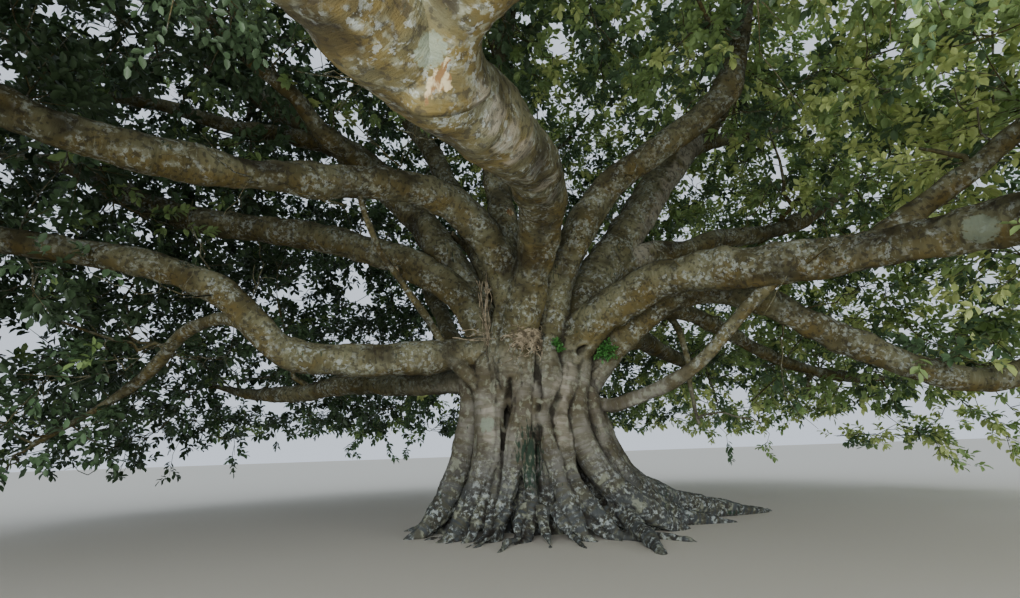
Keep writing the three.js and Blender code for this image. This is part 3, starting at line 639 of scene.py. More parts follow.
@dataclass(frozen=True)
class BarkFinish:
    """The smooth, grey, creased bark of an old fig, mottled with lichen and moss.

    It is a thin living skin: dull, finely wrinkled across each limb, with painted shade in its folds, and
    blotched with crusts of pale lichen the size of a hand. The old trunk is greyer, and its toes are crusted
    white and stained dark, with painted bluish shade near the ground; the limbs are browner, with painted
    warm reflected light and painted shade below. Pale smooth places carry painted highlights. Colours are
    sRGB, sizes in metres.
    """

    name: str = "fig_bark"
    grey: str = "757459"
    brown: str = "514d34"
    old_grey: str = "7a776d"
    old_brown: str = "544e40"
    # painted warm light reflected from the ground, laid in patches on the limbs' undersides
    warm_reflected_light: str = "7a6a3a"
    # painted shade for creases, recesses, clefts and holes
    fold: str = "1d1812"
    stain: str = "2c2a26"
    lichen: str = "8f9380"
    crust: str = "aeb7b4"
    moss: str = "22372a"
    grown_over: str = "84907e"
    shade: str = "3f3820"
    # painted bluish shade near the ground
    foot: str = "30393f"
    # pale smooth bark, painted paler as sunlit highlights
    smooth: str = "a8a294"
    wood: str = "b3a684"
    splinter: str = "755a3a"
    wrinkle: float = 0.028
    blotch: float = 0.15
    grit: float = 0.012
    relief: float = 0.02

    def build(self) -> bpy.types.Material:
        """Makes the material. It reads the attributes that the meshes are painted with."""
        material = new_material(self.name, {"Roughness": 0.88, "Specular IOR Level": 0.25})
        add = partial(add_node, material.node_tree)
        spot = add(Kind.PLACE)
        grain = add(Kind.PAINTED, output="Vector", attribute_name="grain")
        limb, fold, moss, scar, patch, smooth_and_highlit = (add(Kind.PAINTED, attribute_name=name) for name in MARKS)
        across = add(Kind.STRETCH, grain, (0.2, 0.2, 1.0))
        lengthwise = add(Kind.STRETCH, grain, (1.0, 1.0, 0.12))
        hanging = add(Kind.STRETCH, spot, (1.0, 1.0, 0.22))
        # Each pattern is noise by its coordinates, cells to a metre and finer layers, stepped between two
        # levels.
        tone, warm, ring, grown, crusts, dash, thick, mottle, fibre = (
            add(Kind.STEP, add(Kind.NOISE, where, scale, detail), low, high)
            for where, scale, detail, low, high in (
                (spot, 0.25 / self.blotch, 6, 0.38, 0.6), (spot, 1 / (2.8 * self.blotch), 4, 0.36, 0.62),
                (across, 0.35 / self.wrinkle, 4, 0.56, 0.4), (spot, 0.45 / self.blotch, 3, 0.42, 0.58),
                (spot, 1.5 / self.blotch, 8, 0.5, 0.6), (across, 0.9 / self.wrinkle, 3, 0.62, 0.7),
                (spot, 0.6 / self.blotch, 4, 0.4, 0.56), (spot, 2.0 / self.blotch, 7, 0.47, 0.39),
                (lengthwise, 0.6 / self.wrinkle, 4, 0.45, 0.58)))
        specks = add(Kind.NOISE, spot, 2.3 / self.blotch, 8, 0.62)
        ragged = add(Kind.NOISE, spot, 3 / self.blotch, 6)
        growth = add(Kind.NOISE, hanging, 3.5 / self.blotch, 6)
        wrinkles = add(Kind.NOISE, across, 1 / self.wrinkle, 5)
        fine = add(Kind.NOISE, spot, 1 / self.grit, 3)

        mossy = add(Kind.STEP, add(Kind.TIMES_PLUS, moss, 0.34, growth), 0.65, 0.78)
        # Darker and bluer towards the ground: painted bluish shade on the low trunk and toes. The same mask
        # places the stains and white crusts.
        foot = add(Kind.STEP, add(Kind.RISE, spot), 1.9, 0.3)
        # The limbs' undersides by their normals, where painted warm reflected light and painted shade are
        # laid.
        under = add(Kind.TIMES, add(Kind.STEP, add(Kind.RISE, add(Kind.NORMAL)), 0.2, -0.8), limb)
        low = add(Kind.TIMES, foot, thick)
        crusted = add(Kind.MOST, low, add(Kind.TIMES, add(Kind.TIMES, limb, grown), 0.8))
        wood = add(Kind.LAID, fibre, linear(self.splinter), linear(self.wood))
        old = add(Kind.LAID, tone, linear(self.old_brown), linear(self.old_grey))
        young = add(Kind.LAID, tone, linear(self.brown), linear(self.grey))
        colour = add(Kind.LAID, limb, old, young)
        # Each layer of colour is laid over those before it, by its strength and where its shares say.
        for over, strength, *shares in (
                # painted warm light reflected from the ground onto the limbs' undersides
                (linear(self.warm_reflected_light), 0.85, under, warm),
                (linear(self.shade), 0.34, under),
                # painted bluish shade towards the ground
                (linear(self.foot), 0.8, foot),
                # pale smooth bark, painted paler as sunlit highlights
                (linear(self.smooth), 0.6, smooth_and_highlit),
                (linear(self.brown), 0.45, ring),
                (linear(self.lichen), 0.6, crusts, grown),
                (linear(self.lichen), 0.35, dash),
                (linear(self.stain), 0.75, low, add(Kind.STEP, specks, 0.5, 0.43)),
                (linear(self.stain), 0.55, mottle, limb),
                (linear(self.crust), 0.6, crusted, add(Kind.STEP, specks, 0.535, 0.575)),
                (linear(self.moss), 0.9, mossy),
                (linear(self.grown_over), 0.7, add(Kind.STEP, add(Kind.TIMES, patch, ragged), 0.22, 0.34)),
                (wood, 1.0, add(Kind.STEP, add(Kind.TIMES, scar, ragged), 0.26, 0.34)),
                # painted shade in the creases, recesses, seams, clefts and holes
                (linear(self.fold), 0.85, fold)):
            share = strength
            for part in shares:
                share = add(Kind.TIMES, part, share)
            colour = add(Kind.LAID, share, colour, over)
        rough = add(Kind.TIMES_PLUS, fine, 0.4, wrinkles)
        link_shader(material, colour, add(Kind.BUMP, rough, 0.75, self.relief))
        return material


@dataclass(frozen=True)
class LeafFinish:
    """The skin of a leathery fig leaf: one plain colour for a whole spray, with a waxy half-gloss."""

    name: str
    colour: str
    roughness: float = 0.48

    def build(self) -> bpy.types.Material:
        """Makes the material."""
        return new_material(self.name, {"Base Color": linear(self.colour), "Roughness": self.roughness,
                                        "Specular IOR Level": 0.4})


class Tint(Enum):
    """The finishes dealt out to the sprays: copies of one leaf green painted from shade to sunlight, and the
    sprouts' own bright green. Their order gives each its material number.
    """

    IN_SHADE = LeafFinish("leaf_shaded_green", "41553a")
    MIDDLE = LeafFinish("leaf_green", "587350")
    HALF_SUNLIT = LeafFinish("leaf_half_sunlit_green", "86a062")
    SUNLIT = LeafFinish("leaf_sunlit_green", "bccb80")
    SPROUT = LeafFinish("leaf_bright_sprout", "46783a")


def triangles_of(mesh: bpy.types.Mesh) -> int:
    """How many triangles a mesh has."""
    return sum(len(face.vertices) - 2 for face in mesh.polygons)


def object_of(name: str, mesh: bpy.types.Mesh, materials: Sequence[bpy.types.Material],
              nodes: Sequence[str]) -> None:
    """Shades a finished mesh smoothly and puts it in the scene as a piece of the tree.

    Args:
        name: The piece's name.
        mesh: Its mesh, placed in the tree's frame.
        materials: Its finishes in the order of its material numbers.
        nodes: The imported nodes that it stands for.
    """
    piece = bpy.data.objects.new(name, mesh)
    bpy.context.scene.collection.objects.link(piece)
    for material in materials:
        mesh.materials.append(material)
    mesh.shade_smooth()
    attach(piece, "root")
    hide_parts(*nodes)
    log.info("%s: %d triangles", name, triangles_of(mesh))


def mesh_from_arrays(name: str, vertices: np.ndarray, faces: np.ndarray,
                     numbers: Optional[np.ndarray] = None) -> bpy.types.Mesh:
    """Makes one mesh of many small things.

    Args:
        name: The mesh's name.
        vertices: Rows of x, y, z.
        faces: Rows of vertex numbers.
        numbers: The material number of each face.

    Returns:
        The mesh.
    """
    mesh = bpy.data.meshes.new(name)
    count, sides = faces.shape
    mesh.vertices.add(len(vertices))
    mesh.vertices.foreach_set("co", vertices.astype(np.float32).ravel())
    mesh.loops.add(count * sides)
    mesh.loops.foreach_set("vertex_index", faces.astype(np.int32).ravel())
    mesh.polygons.add(count)
    mesh.polygons.foreach_set("loop_start", np.arange(0, count * sides, sides, dtype=np.int32))
    if numbers is not None:
        mesh.polygons.foreach_set("material_index", numbers.astype(np.int32))
    mesh.update(calc_edges=True)
    return mesh


def vertex_rows(mesh: bpy.types.Mesh, name: str = "co") -> np.ndarray:
    """The mesh's vertices, or their normals by that name, as rows of x, y, z."""
    flat = np.empty(len(mesh.vertices) * 3, np.float32)
    mesh.vertices.foreach_get(name, flat)
    return flat.reshape(-1, 3).astype(float)


def move_vertices(mesh: bpy.types.Mesh, points: np.ndarray) -> None:
    """Sets the mesh's vertices."""
    mesh.vertices.foreach_set("co", points.astype(np.float32).ravel())
    mesh.update()


def paint(mesh: bpy.types.Mesh, **layers: np.ndarray) -> None:
    """Stores a value or vector for each vertex.

    Args:
        mesh: The mesh.
        layers: For each attribute's name, one number or one row of three for each vertex.
    """
    for name, values in layers.items():
        vector = values.ndim == 2
        layer = mesh.attributes.new(name, "FLOAT_VECTOR" if vector else "FLOAT", "POINT")
        layer.data.foreach_set("vector" if vector else "value", values.astype(np.float32).ravel())


def smoothed(mesh: bpy.types.Mesh, points: np.ndarray, rounds: int, share: float = 0.5) -> np.ndarray:
    """Vertices drawn towards the middle of their neighbours.

    Args:
        mesh: The mesh whose edges join them.
        points: Rows of x, y, z.
        rounds: How many times.
        share: How far each time.

    Returns:
        The moved vertices.
    """
    flat = np.empty(len(mesh.edges) * 2, np.int32)
    mesh.edges.foreach_get("vertices", flat)
    ends = np.concatenate([flat[::2], flat[1::2]])
    others = np.concatenate([flat[1::2], flat[::2]])
    degree = np.maximum(np.bincount(ends, minlength=len(points)), 1)[:, None]
    for _ in range(rounds):
        total = np.stack([np.bincount(ends, points[others, k], len(points)) for k in range(3)], axis=1)
        points = points + share * (total / degree - points)
    return points


def tube_mesh(run: Run, sides: int, rings: int) -> tuple[bpy.types.Mesh, np.ndarray, np.ndarray]:
    """A closed tube round a run, from a cylinder that is cut into rings and bent.

    Args:
        run: The centre line.
        sides: Faces round it.
        rings: Faces along it.

    Returns:
        The mesh, each vertex's angle round the run, and its distance along it.
    """
    made = bmesh.new()
    bmesh.ops.create_cone(made, cap_ends=True, cap_tris=False, segments=sides, radius1=1, radius2=1, depth=1)
    uprights = [edge for edge in made.edges if abs(edge.verts[0].co.z - edge.verts[1].co.z) > 0.5]
    bmesh.ops.subdivide_edges(made, edges=uprights, cuts=rings - 1)
    mesh = bpy.data.meshes.new("tube")
    made.to_mesh(mesh)
    made.free()
    shape = vertex_rows(mesh)
    along = run.distance[0] + (shape[:, 2] + 0.5) * run.length
    points, _, side, over, radius = run.at(along)
    level, upright = shape[:, :1] * radius[:, None], shape[:, 1:2] * radius[:, None]
    move_vertices(mesh, points + side * level + over * upright)
    return mesh, np.arctan2(shape[:, 1], shape[:, 0]), along


@dataclass
class Framework:
    """The limbs of the tree: trunk stems, roots, ribs, toes, footings and boughs, and the boughs' collars."""

    ribs_behind: int = 14
    small_toes: int = 13

    def __post_init__(self) -> None:
        """Works every limb out from the tables."""
        self.core = Limb.laid((0, 0, -0.3), (0, 90), FORK, (0, 90), (0.3, 0.3), (0.86, 0.75))
        self.stems = [
            Limb.laid((bearing, out, -0.3), (bearing + 180, 58), (bearing, WAIST_RADIUS - 0.42, top),
                      (bearing, 86), (0.3, 0.55), (radius + 0.2, radius), 0.06, 20 + i)
            for i, (bearing, out, top, radius) in enumerate(STEMS)]
        self.roots = [
            Limb.laid((bearing, WAIST_RADIUS + 0.1 - radius, height), (bearing, -70),
                      (bearing + swing, out, 0), (bearing + swing, -2), (0.42, 0.5), (radius, 0.1), 0.03,
                      40 + i)
            for i, (bearing, out, height, radius, swing) in enumerate(ROOTS)]
        self.ribs, self.toes, self.footings = [], [], []
        draw = seeded(70)
        for i in range(self.ribs_behind):
            bearing = 4 + 12.8 * i + 5 * next(draw)
            out, radius, swing = 1.8 + 0.9 * next(draw), 0.15 + 0.1 * next(draw), 14 * (next(draw) - 0.5)
            self.ribs.append(Limb.laid((bearing, 1.1 - radius / 2, 2.9), (bearing, -84),
                                       (bearing + swing, out, 0), (bearing + swing, -8), (0.6, 0.3),
                                       (radius, 0.08), 0.06, 71 + i))
        draw = seeded(90)
        for i in range(self.small_toes):
            bearing = -170 + 12 * i + 8 * next(draw)
            out, swing = 1.85 + 0.6 * next(draw) + 0.5 * (bearing > -60), 30 * (next(draw) - 0.5)
            self.toes.append(Limb.laid((bearing, 1.3, 0.5), (bearing, -45), (bearing + swing, out, 0),
                                       (bearing + swing, -4), (0.4, 0.4), (0.1 + 0.05 * next(draw), 0.035),
                                       0.06, 91 + i))
        self.boughs, self.collars = {}, {}
        for i, plan in enumerate(BOUGHS):
            parent = self.boughs.get(plan.parent)
            start = parent.points([plan.at])[0] if parent else place(plan.at)
            limb = Limb(start, heading(plan.leaves), place(plan.tip), heading(plan.ends), plan.pull,
                        plan.girth, 0.12, 100 + i)
            if not parent:
                foot = place((plan.at[0], 0.6, plan.at[2] - 1.3))
                self.footings.append(Limb(foot, heading((0, 90)), start, heading(plan.leaves), (0.4, 0.35),
                                          (0.4 * plan.girth[0], plan.girth[0])))
            self.boughs[plan.name] = limb
            self.collars[plan.name] = 0.0 if parent else limb.length_to(place(FORK), plan.collar)


@dataclass
class Mass:
    """The space of one mass of foliage, and the stem that feeds it."""

    name: str
    centre: np.ndarray
    size: np.ndarray
    stem: Limb

    @classmethod
    def of(cls, plan: BoughPlan, limb: Limb) -> "Mass":
        """The mass at the end of a bough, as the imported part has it.

        Args:
            plan: The bough's row.
            limb: The bough's limb.

        Returns:
            The mass.
        """
        wide, tall, lift = plan.mass
        centre = place(plan.tip) + heading(plan.ends) * 0.66 * wide + np.array([0, 0, lift])
        ends = unit(np.diff(limb.points([0.9999, 1.0]), axis=0)[0])
        towards = unit(centre - limb.handles[3])
        stem = Limb(limb.handles[3], ends, centre, towards, (0.35, 0.3), (plan.girth[1], 0.05))
        return cls(plan.name, centre, np.array([wide, wide, tall]), stem)


@dataclass
class Trunk:
    """The fluted trunk, its roots and the fused bases of its boughs, as one skin."""

    framework: Framework
    finish: BarkFinish
    grid: float = 0.032
    overlap: float = 0.35
    most_triangles: int = 214000
    tube_sides: int = 18
    tube_ring: float = 0.12

    def build(self) -> bpy.types.Material:
        """Fuses the trunk's limbs, gives them their relief and cuts them flat at the ground.

        Returns:
            The bark, which the boughs share.
        """
        runs, numbers = self._runs()
        mesh = self._fused(runs)
        self._relieve(mesh, runs, numbers)
        mesh = modified(mesh, "DECIMATE", ratio=min(1.0, self.most_triangles / triangles_of(mesh)))
        self._cut_flat(mesh)
        self._paint(mesh, runs, numbers)
        bark = self.finish.build()
        object_of("trunk_bark", mesh, [bark], ["trunk"])
        return bark

    def _runs(self) -> tuple[list[Run], list[int]]:
        """The centre lines that are fused, with the boughs' bases drawn in a little past their collars.

        Returns:
            The lines, and the number of each one's pattern of grain. A bough's base has the bough's number.
        """
        limbs = self.framework
        runs = [Run.of(limb) for limb in (limbs.core, *limbs.footings)]
        # The columns stand in for the stems and roots of the front.
        runs += [Run.of(limb) for limb, row in zip(limbs.stems, STEMS) if -10 < row[0] < 180]
        runs += [Run.of(limb).sunk() for limb in (*limbs.ribs, *limbs.toes)]
        runs += [Run.of(limb).sunk() for limb, row in zip(limbs.roots, ROOTS) if -5 < row[0] < 180]
        runs += [Run.through(knots).sunk() if knots[-1][2] < 0.1 else Run.through(knots) for knots in COLUMNS]
        numbers = [40 + i for i in range(len(runs))]
        for number, (name, limb) in enumerate(limbs.boughs.items()):
            reach = limbs.collars[name]
            if reach > 0:
                base = Run.of(limb).cut(0, reach + self.overlap)
                past = np.clip((base.distance - reach) / self.overlap, 0, 1)
                runs.append(Run(base.points, base.radii * (1 - 0.3 * past ** 1.5), base.side).heeled())
                numbers.append(number)
        return runs, numbers

    def _fused(self, runs: list[Run]) -> bpy.types.Mesh:
        """One closed skin round every run.

        Args:
            runs: The centre lines.

        Returns:
            The skin, with its creases softened.
        """
        gathered = bmesh.new()
        for run in runs:
            mesh, _, _ = tube_mesh(run, self.tube_sides, max(4, int(run.length / self.tube_ring)))
            gathered.from_mesh(mesh)
            bpy.data.meshes.remove(mesh)
        rough = bpy.data.meshes.new("trunk_rough")
        gathered.to_mesh(rough)
        gathered.free()
        mesh = modified(rough, "REMESH", mode="VOXEL", voxel_size=self.grid)
        move_vertices(mesh, smoothed(mesh, vertex_rows(mesh), 3))
        return mesh

    def _relieve(self, mesh: bpy.types.Mesh, runs: list[Run], numbers: list[int]) -> None:
        """Raises the bark's relief and sinks the rotted holes.

        Args:
            mesh: The skin.
            runs: The centre lines in it, whose grain the bark follows.
            numbers: The number of each one's pattern of grain.
        """
        points = vertex_rows(mesh)
        grain, local = grain_of(points, runs, numbers)
        ridged = 0.5 - np.abs(layered(grain * (6.5, 6.5, 0.55), 23, 2))
        old = 0.8 * bark_relief(grain, points) + 0.03 * ridged * (1 - limbness(points))
        old += 0.01 * layered(grain * (12, 12, 2.5), 75, 2) - 0.03 * seams(grain)
        share = self._limb_share(points)
        lift = old * (1 - share) + limb_relief(grain, points, local) * share
        hole = np.zeros(len(points))
        for *centre, size in HOLES:
            away = np.linalg.norm(points - centre, axis=1) / size
            hole = np.maximum(hole, np.exp(-away ** 4))
            lift += 0.25 * size * np.exp(-((away - 1.5) / 0.45) ** 2)
        for line, width, depth in CLEFTS:
            lift -= depth * beside(points, line, width)
        move_vertices(mesh, points + vertex_rows(mesh, "normal") * (lift - 0.16 * hole)[:, None])

    def _paint(self, mesh: bpy.types.Mesh, runs: list[Run], numbers: list[int]) -> None:
        """Stores what the finish reads: the bark's grain, the painted shade of its folds, clefts and holes,
        and how mossy and scarred it is.

        Args:
            mesh: The skin.
            runs: The centre lines in it, whose grain the bark follows.
            numbers: The number of each one's pattern of grain.
        """
        points = vertex_rows(mesh)
        outward = vertex_rows(mesh, "normal")
        broad = smoothed(mesh, points, 24, 0.6)
        broader = smoothed(mesh, broad, 140, 0.7)
        crease, recess = (np.sum((shape - points) * outward, axis=1) for shape in (broad, broader))
        grain, _ = grain_of(points, runs, numbers)
        share = self._limb_share(points)
        # Painted shade: the deeper a point lies below its smoothed surroundings, and along seams, clefts and
        # holes, the darker it is painted.
        hollow = np.maximum(crease / 0.027, recess / 0.085) - 0.14
        hollow = hollow + 0.35 * (1 - limbness(points)) * seams(grain)
        folded = np.clip(hollow, 0, 1) * (1 - share) + limb_folds(grain, points) * share
        folded = np.maximum(folded, 1.3 * nearness(points, HOLES, True))
        for line, width, _ in CLEFTS:
            folded = np.maximum(folded, beside(points, line, 1.1 * width))
        paint(mesh, grain=grain, fold=np.clip(folded, 0, 1), moss=self._moss(points), **marks_at(points))

    @staticmethod
    def _limb_share(points: np.ndarray) -> np.ndarray:
        """How far each point is on a bough's base, from 0 on the trunk to 1 at the collars."""
        return np.clip((np.linalg.norm(points - FORK, axis=1) - 1.5) / 0.5, 0, 1) * (points[:, 2] > 2.6)

    @staticmethod
    def _moss(points: np.ndarray) -> np.ndarray:
        """How mossy each point is: most on one front column, with traces elsewhere."""
        rib = np.exp(-(((points[:, 0] + 0.25) / 0.26) ** 4 + ((points[:, 2] - 1.3) / 0.6) ** 4))
        rib *= points[:, 1] < 0
        traces = np.clip(layered(points * 1.3, 91) - 0.25, 0, 1)
        return np.clip(rib * 0.75 + traces * 0.5, 0, 1)

    @staticmethod
    def _cut_flat(mesh: bpy.types.Mesh) -> None:
        """Cuts the skin off at the ground and closes the cut."""
        made = bmesh.new()
        made.from_mesh(mesh)
        cut = bmesh.ops.bisect_plane(made, geom=made.verts[:] + made.edges[:] + made.faces[:], dist=1e-5,
                                     plane_co=(0, 0, 0.0), plane_no=(0, 0, 1), clear_inner=True)
        rim = [item for item in cut["geom_cut"] if isinstance(item, bmesh.types.BMEdge)]
        bmesh.ops.holes_fill(made, edges=rim, sides=0)
        made.to_mesh(mesh)
        made.free()
        mesh.update()


def modified(mesh: bpy.types.Mesh, kind: str, **settings: Any) -> bpy.types.Mesh:
    """A mesh with a modifier applied.

    Args:
        mesh: The mesh.
        kind: The modifier's type.
        settings: Its settings.

    Returns:
        The new mesh.
    """
    holder = bpy.data.objects.new("worked", mesh)
    modifier = holder.modifiers.new("worked", kind)
    for name, value in settings.items():
        setattr(modifier, name, value)
    bpy.context.scene.collection.objects.link(holder)
    graph = bpy.context.evaluated_depsgraph_get()
    made = bpy.data.meshes.new_from_object(holder.evaluated_get(graph))
    bpy.data.objects.remove(holder)
    return made


def tree_of(points: np.ndarray) -> KDTree:
    """A tree that finds the nearest of some points."""
    tree = KDTree(len(points))
    for i, point in enumerate(points):
        tree.insert(point, i)
    tree.balance()
    return tree


def grain_of(points: np.ndarray, runs: list[Run], numbers: list[int]) -> tuple[np.ndarray, np.ndarray]:
    """Where each point lies on the limb nearest to it: across it, over it and along it.

    Args:
        points: Rows of x, y, z.
        runs: The limbs' centre lines.
        numbers: The number of each one's pattern of grain.

    Returns:
        Rows of three distances in metres, and the limb's radius there.
    """
    lines, radii, sides, overs, tangents = (
        np.concatenate([getattr(run, name)[::2] for run in runs])
        for name in ("points", "radii", "side", "over", "tangent"))
    distances = np.concatenate([run.distance[::2] + GRAIN_APART * number
                                for run, number in zip(runs, numbers)])
    tree = tree_of(lines)
    best = np.empty(len(points), int)
    for k, point in enumerate(points):
        found = tree.find_n(point, 10)
        best[k] = min(found, key=lambda hit: hit[2] - radii[hit[1]])[1]
    offset = points - lines[best]
    across, over, along = (np.sum(offset * ways[best], axis=1) for ways in (sides, overs, tangents))
    return np.stack([across, over, distances[best] + along], axis=1), radii[best]


def limbness(points: np.ndarray) -> np.ndarray:
    """How much the bark at each point is a limb's, from 0 on the old trunk to 1 past the fork."""
    out = np.hypot(points[:, 0], points[:, 1])
    share = np.clip(points[:, 2] - 2.4 + 0.3 * np.maximum(out - 1.6, 0), 0, 1.3) / 1.3
    return share * share * (3 - 2 * share)


def nearness(points: np.ndarray, places: Sequence[Spot], ragged: bool) -> np.ndarray:
    """How near each point is to one of some places.

    Args:
        points: Rows of x, y, z.
        places: The places' x, y, z and size.
        ragged: Whether a place ends at a ragged rim, or fades evenly to half as far again as its size.

    Returns:
        Values from 0 to 1.
    """
    reach, sharpness = (1 + 0.3 * layered(points * 9, 65), 4) if ragged else (1.5, 1)
    found = np.zeros(len(points))
    for *centre, size in places:
        away = np.linalg.norm(points - centre, axis=1) / size
        found = np.maximum(found, np.clip((reach - away) * sharpness, 0, 1))
    return found


def marks_at(points: np.ndarray) -> dict[str, np.ndarray]:
    """How much of a limb's bark each point has, how torn and grown over it is, and how much pale smooth bark
    with painted highlight it has, by attribute.
    """
    return {"limb": limbness(points), "scar": nearness(points, SCARS, False),
            "patch": nearness(points, PATCHES, False), "smooth_and_highlit": nearness(points, SMOOTH_AND_HIGHLIT, True)}


def beside(points: np.ndarray, line: Sequence[Triple], width: float) -> np.ndarray:
    """How near each point is to a line of points: 1 on it, falling to 0 past its width.

    Args:
        points: Rows of x, y, z.
        line: The line's points.
        width: How far to either side it reaches.

    Returns:
        Values from 0 to 1.
    """
    found = np.zeros(len(points))
    for start, end in zip(np.array(line[:-1]), np.array(line[1:])):
        share = np.clip((points - start) @ (end - start) / np.sum((end - start) ** 2), 0, 1)
        away = np.linalg.norm(points - start - share[:, None] * (end - start), axis=1) / width
        found = np.maximum(found, np.exp(-away ** 4))
    return found


def seams(grain: np.ndarray) -> np.ndarray:
    """Where the long seams run between the strands of an old trunk, from 0 to 1 in each."""
    return np.clip(1 - 7 * np.abs(layered(grain * (3.4, 3.4, 0.4), 19, 2)), 0, 1)


def bark_relief(grain: np.ndarray, points: np.ndarray) -> np.ndarray:
    """How far the bark stands out: broad muscle, long flutes and creases that run across the limb.

    Args:
        grain: Rows of distances across, over and along the limb.
        points: The same points in the tree's frame.

    Returns:
        Metres outwards for each point.
    """
    muscle = 0.04 * layered(points * 1.9, 5, 3)
    flutes = 0.02 * layered(grain * (5.5, 5.5, 0.7), 15, 2)
    creases = layered(grain * (3.0, 3.0, 13.0), 25, 3)
    pimples = 0.003 * noise(points * 24, 35)
    return muscle + flutes + 0.007 * creases - 0.008 * np.clip(np.abs(creases) * -4 + 1, 0, 1) + pimples


def limb_folds(grain: np.ndarray, points: np.ndarray) -> np.ndarray:
    """How much painted shade darkens the creases of a limb's bark, from 0 to 0.7."""
    return np.clip(-bark_relief(grain, points) / 0.045 - 0.3, 0, 0.7)


def limb_relief(grain: np.ndarray, points: np.ndarray, local: np.ndarray) -> np.ndarray:
    """How far a limb's bark stands out: its lumps and its bark's relief, less on a thin limb.

    Args:
        grain: Rows of distances across, over and along the limb.
        points: The same points in the tree's frame.
        local: The limb's radius at each.

    Returns:
        Metres outwards for each point.
    """
    lumps = 0.13 * local * layered(grain * (1.6, 1.6, 1.1), 45, 2) + 0.06 * local * noise(grain * 4.5, 55)
    return bark_relief(grain, points) * np.clip(local / 0.3, 0.12, 1) + lumps


@dataclass
class Skin:
    """The creased skin of one limb, swept along its run."""

    run: Run
    girth: float
    number: int
    pitch: float = 0.05

    def mesh(self) -> bpy.types.Mesh:
        """The limb's skin with its relief and what its finish reads."""
        run = self.run
        sides = int(np.clip(2 * math.pi * self.girth / self.pitch, 10, 54))
        mesh, angle, along = tube_mesh(run, sides, max(12, int(run.length / self.pitch)))
        points = vertex_rows(mesh)
        centre, _, side, over, local = run.at(along)
        distance = along + GRAIN_APART * self.number
        grain = np.stack([np.cos(angle) * local, np.sin(angle) * local, distance], axis=1)
        relief = limb_relief(grain, points, local)
        clear = np.clip((along - self.run.distance[0] - 0.5) / 0.5, 0, 1)
        lift = relief + self._knots(angle, along - self.run.distance[0], local) * clear
        outward = side * np.cos(angle)[:, None] + over * np.sin(angle)[:, None]
        inner = np.linalg.norm(points - centre, axis=1) < 0.3 * local
        move_vertices(mesh, points + outward * np.where(inner, 0, lift)[:, None])
        traces = np.clip(layered(points * 1.1, 91) - 0.05, 0, 1)
        moss = np.clip(traces * (0.5 + 0.7 * outward[:, 2]), 0, 1) * 0.6
        paint(mesh, grain=grain, fold=limb_folds(grain, points), moss=moss, **marks_at(points))
        return mesh

    def _knots(self, angle: np.ndarray, along: np.ndarray, local: np.ndarray) -> np.ndarray:
        """Scars of lost shoots: low, ringed swellings here and there.

        Args:
            angle: Each vertex's angle round the limb.
            along: Its distance along the limb.
            local: The limb's radius there.

        Returns:
            Metres outwards for each vertex.
        """
        draw = seeded(500 + self.number)
        lift = np.zeros(len(angle))
        for _ in range(int(self.run.length * 1.1)):
            where, turn = next(draw) * self.run.length, next(draw) * 2 * math.pi
            size = 0.07 + 0.1 * next(draw)
            around = (np.angle(np.exp(1j * (angle - turn)))) * local
            away = np.hypot(around, along - where) / size
            lift += size * 0.42 * (np.exp(-away ** 2) - 0.55 * np.exp(-(away / 0.38) ** 2))
        return lift * np.clip(local / 0.25, 0.15, 1)


@dataclass
class Bough:
    """One bough with the stem that it becomes inside its mass."""

    plan: BoughPlan
    framework: Framework
    mass: Optional[Mass]
    number: int = 0

    def run(self) -> Run:
        """The centre line from inside the trunk or the parent to the end of the stem, flared at a fork."""
        limb = self.framework.boughs[self.plan.name]
        whole = Run.of(limb) if self.mass is None else Run.of(limb, self.mass.stem)
        reach = self.framework.collars[self.plan.name]
        if reach == 0:
            flare = 1 + 0.5 * np.exp(-(whole.distance / 0.45) ** 2)
            return Run(whole.points, whole.radii * flare, whole.side)
        outer = whole.cut(reach - 0.45, whole.length)
        past = np.clip((outer.distance - outer.distance[0]) / 0.4, 0, 1)
        return Run(outer.points, outer.radii * (0.72 + 0.28 * past), outer.side, outer.distance[0])

    def mesh(self) -> bpy.types.Mesh:
        """The bough's skin."""
        return Skin(self.run(), self.plan.girth[0], self.number).mesh()


class Sector(Enum):
    """The parts of the crown by bearing, so that no piece of foliage is too large."""

    RIGHT = 0
    BACK_RIGHT = 1
    BACK = 2
    BACK_LEFT = 3
    LEFT = 4
    FRONT_LEFT = 5
    FRONT = 6
    FRONT_RIGHT = 7

    @classmethod
    def of(cls, point: np.ndarray) -> "Sector":
        """The sector that a point lies in."""
        bearing = math.degrees(math.atan2(point[1], point[0])) % 360
        return cls(int((bearing + 22.5) // 45) % 8)


@dataclass
class Growth:
    """What one mass grew: woody lines of points with radii, and leafy shoots, by one stream of numbers."""

    random: np.random.Generator
    branches: list[tuple[np.ndarray, np.ndarray]] = field(default_factory=list)
    twigs: list[tuple[np.ndarray, np.ndarray]] = field(default_factory=list)
    shoots: list[np.ndarray] = field(default_factory=list)


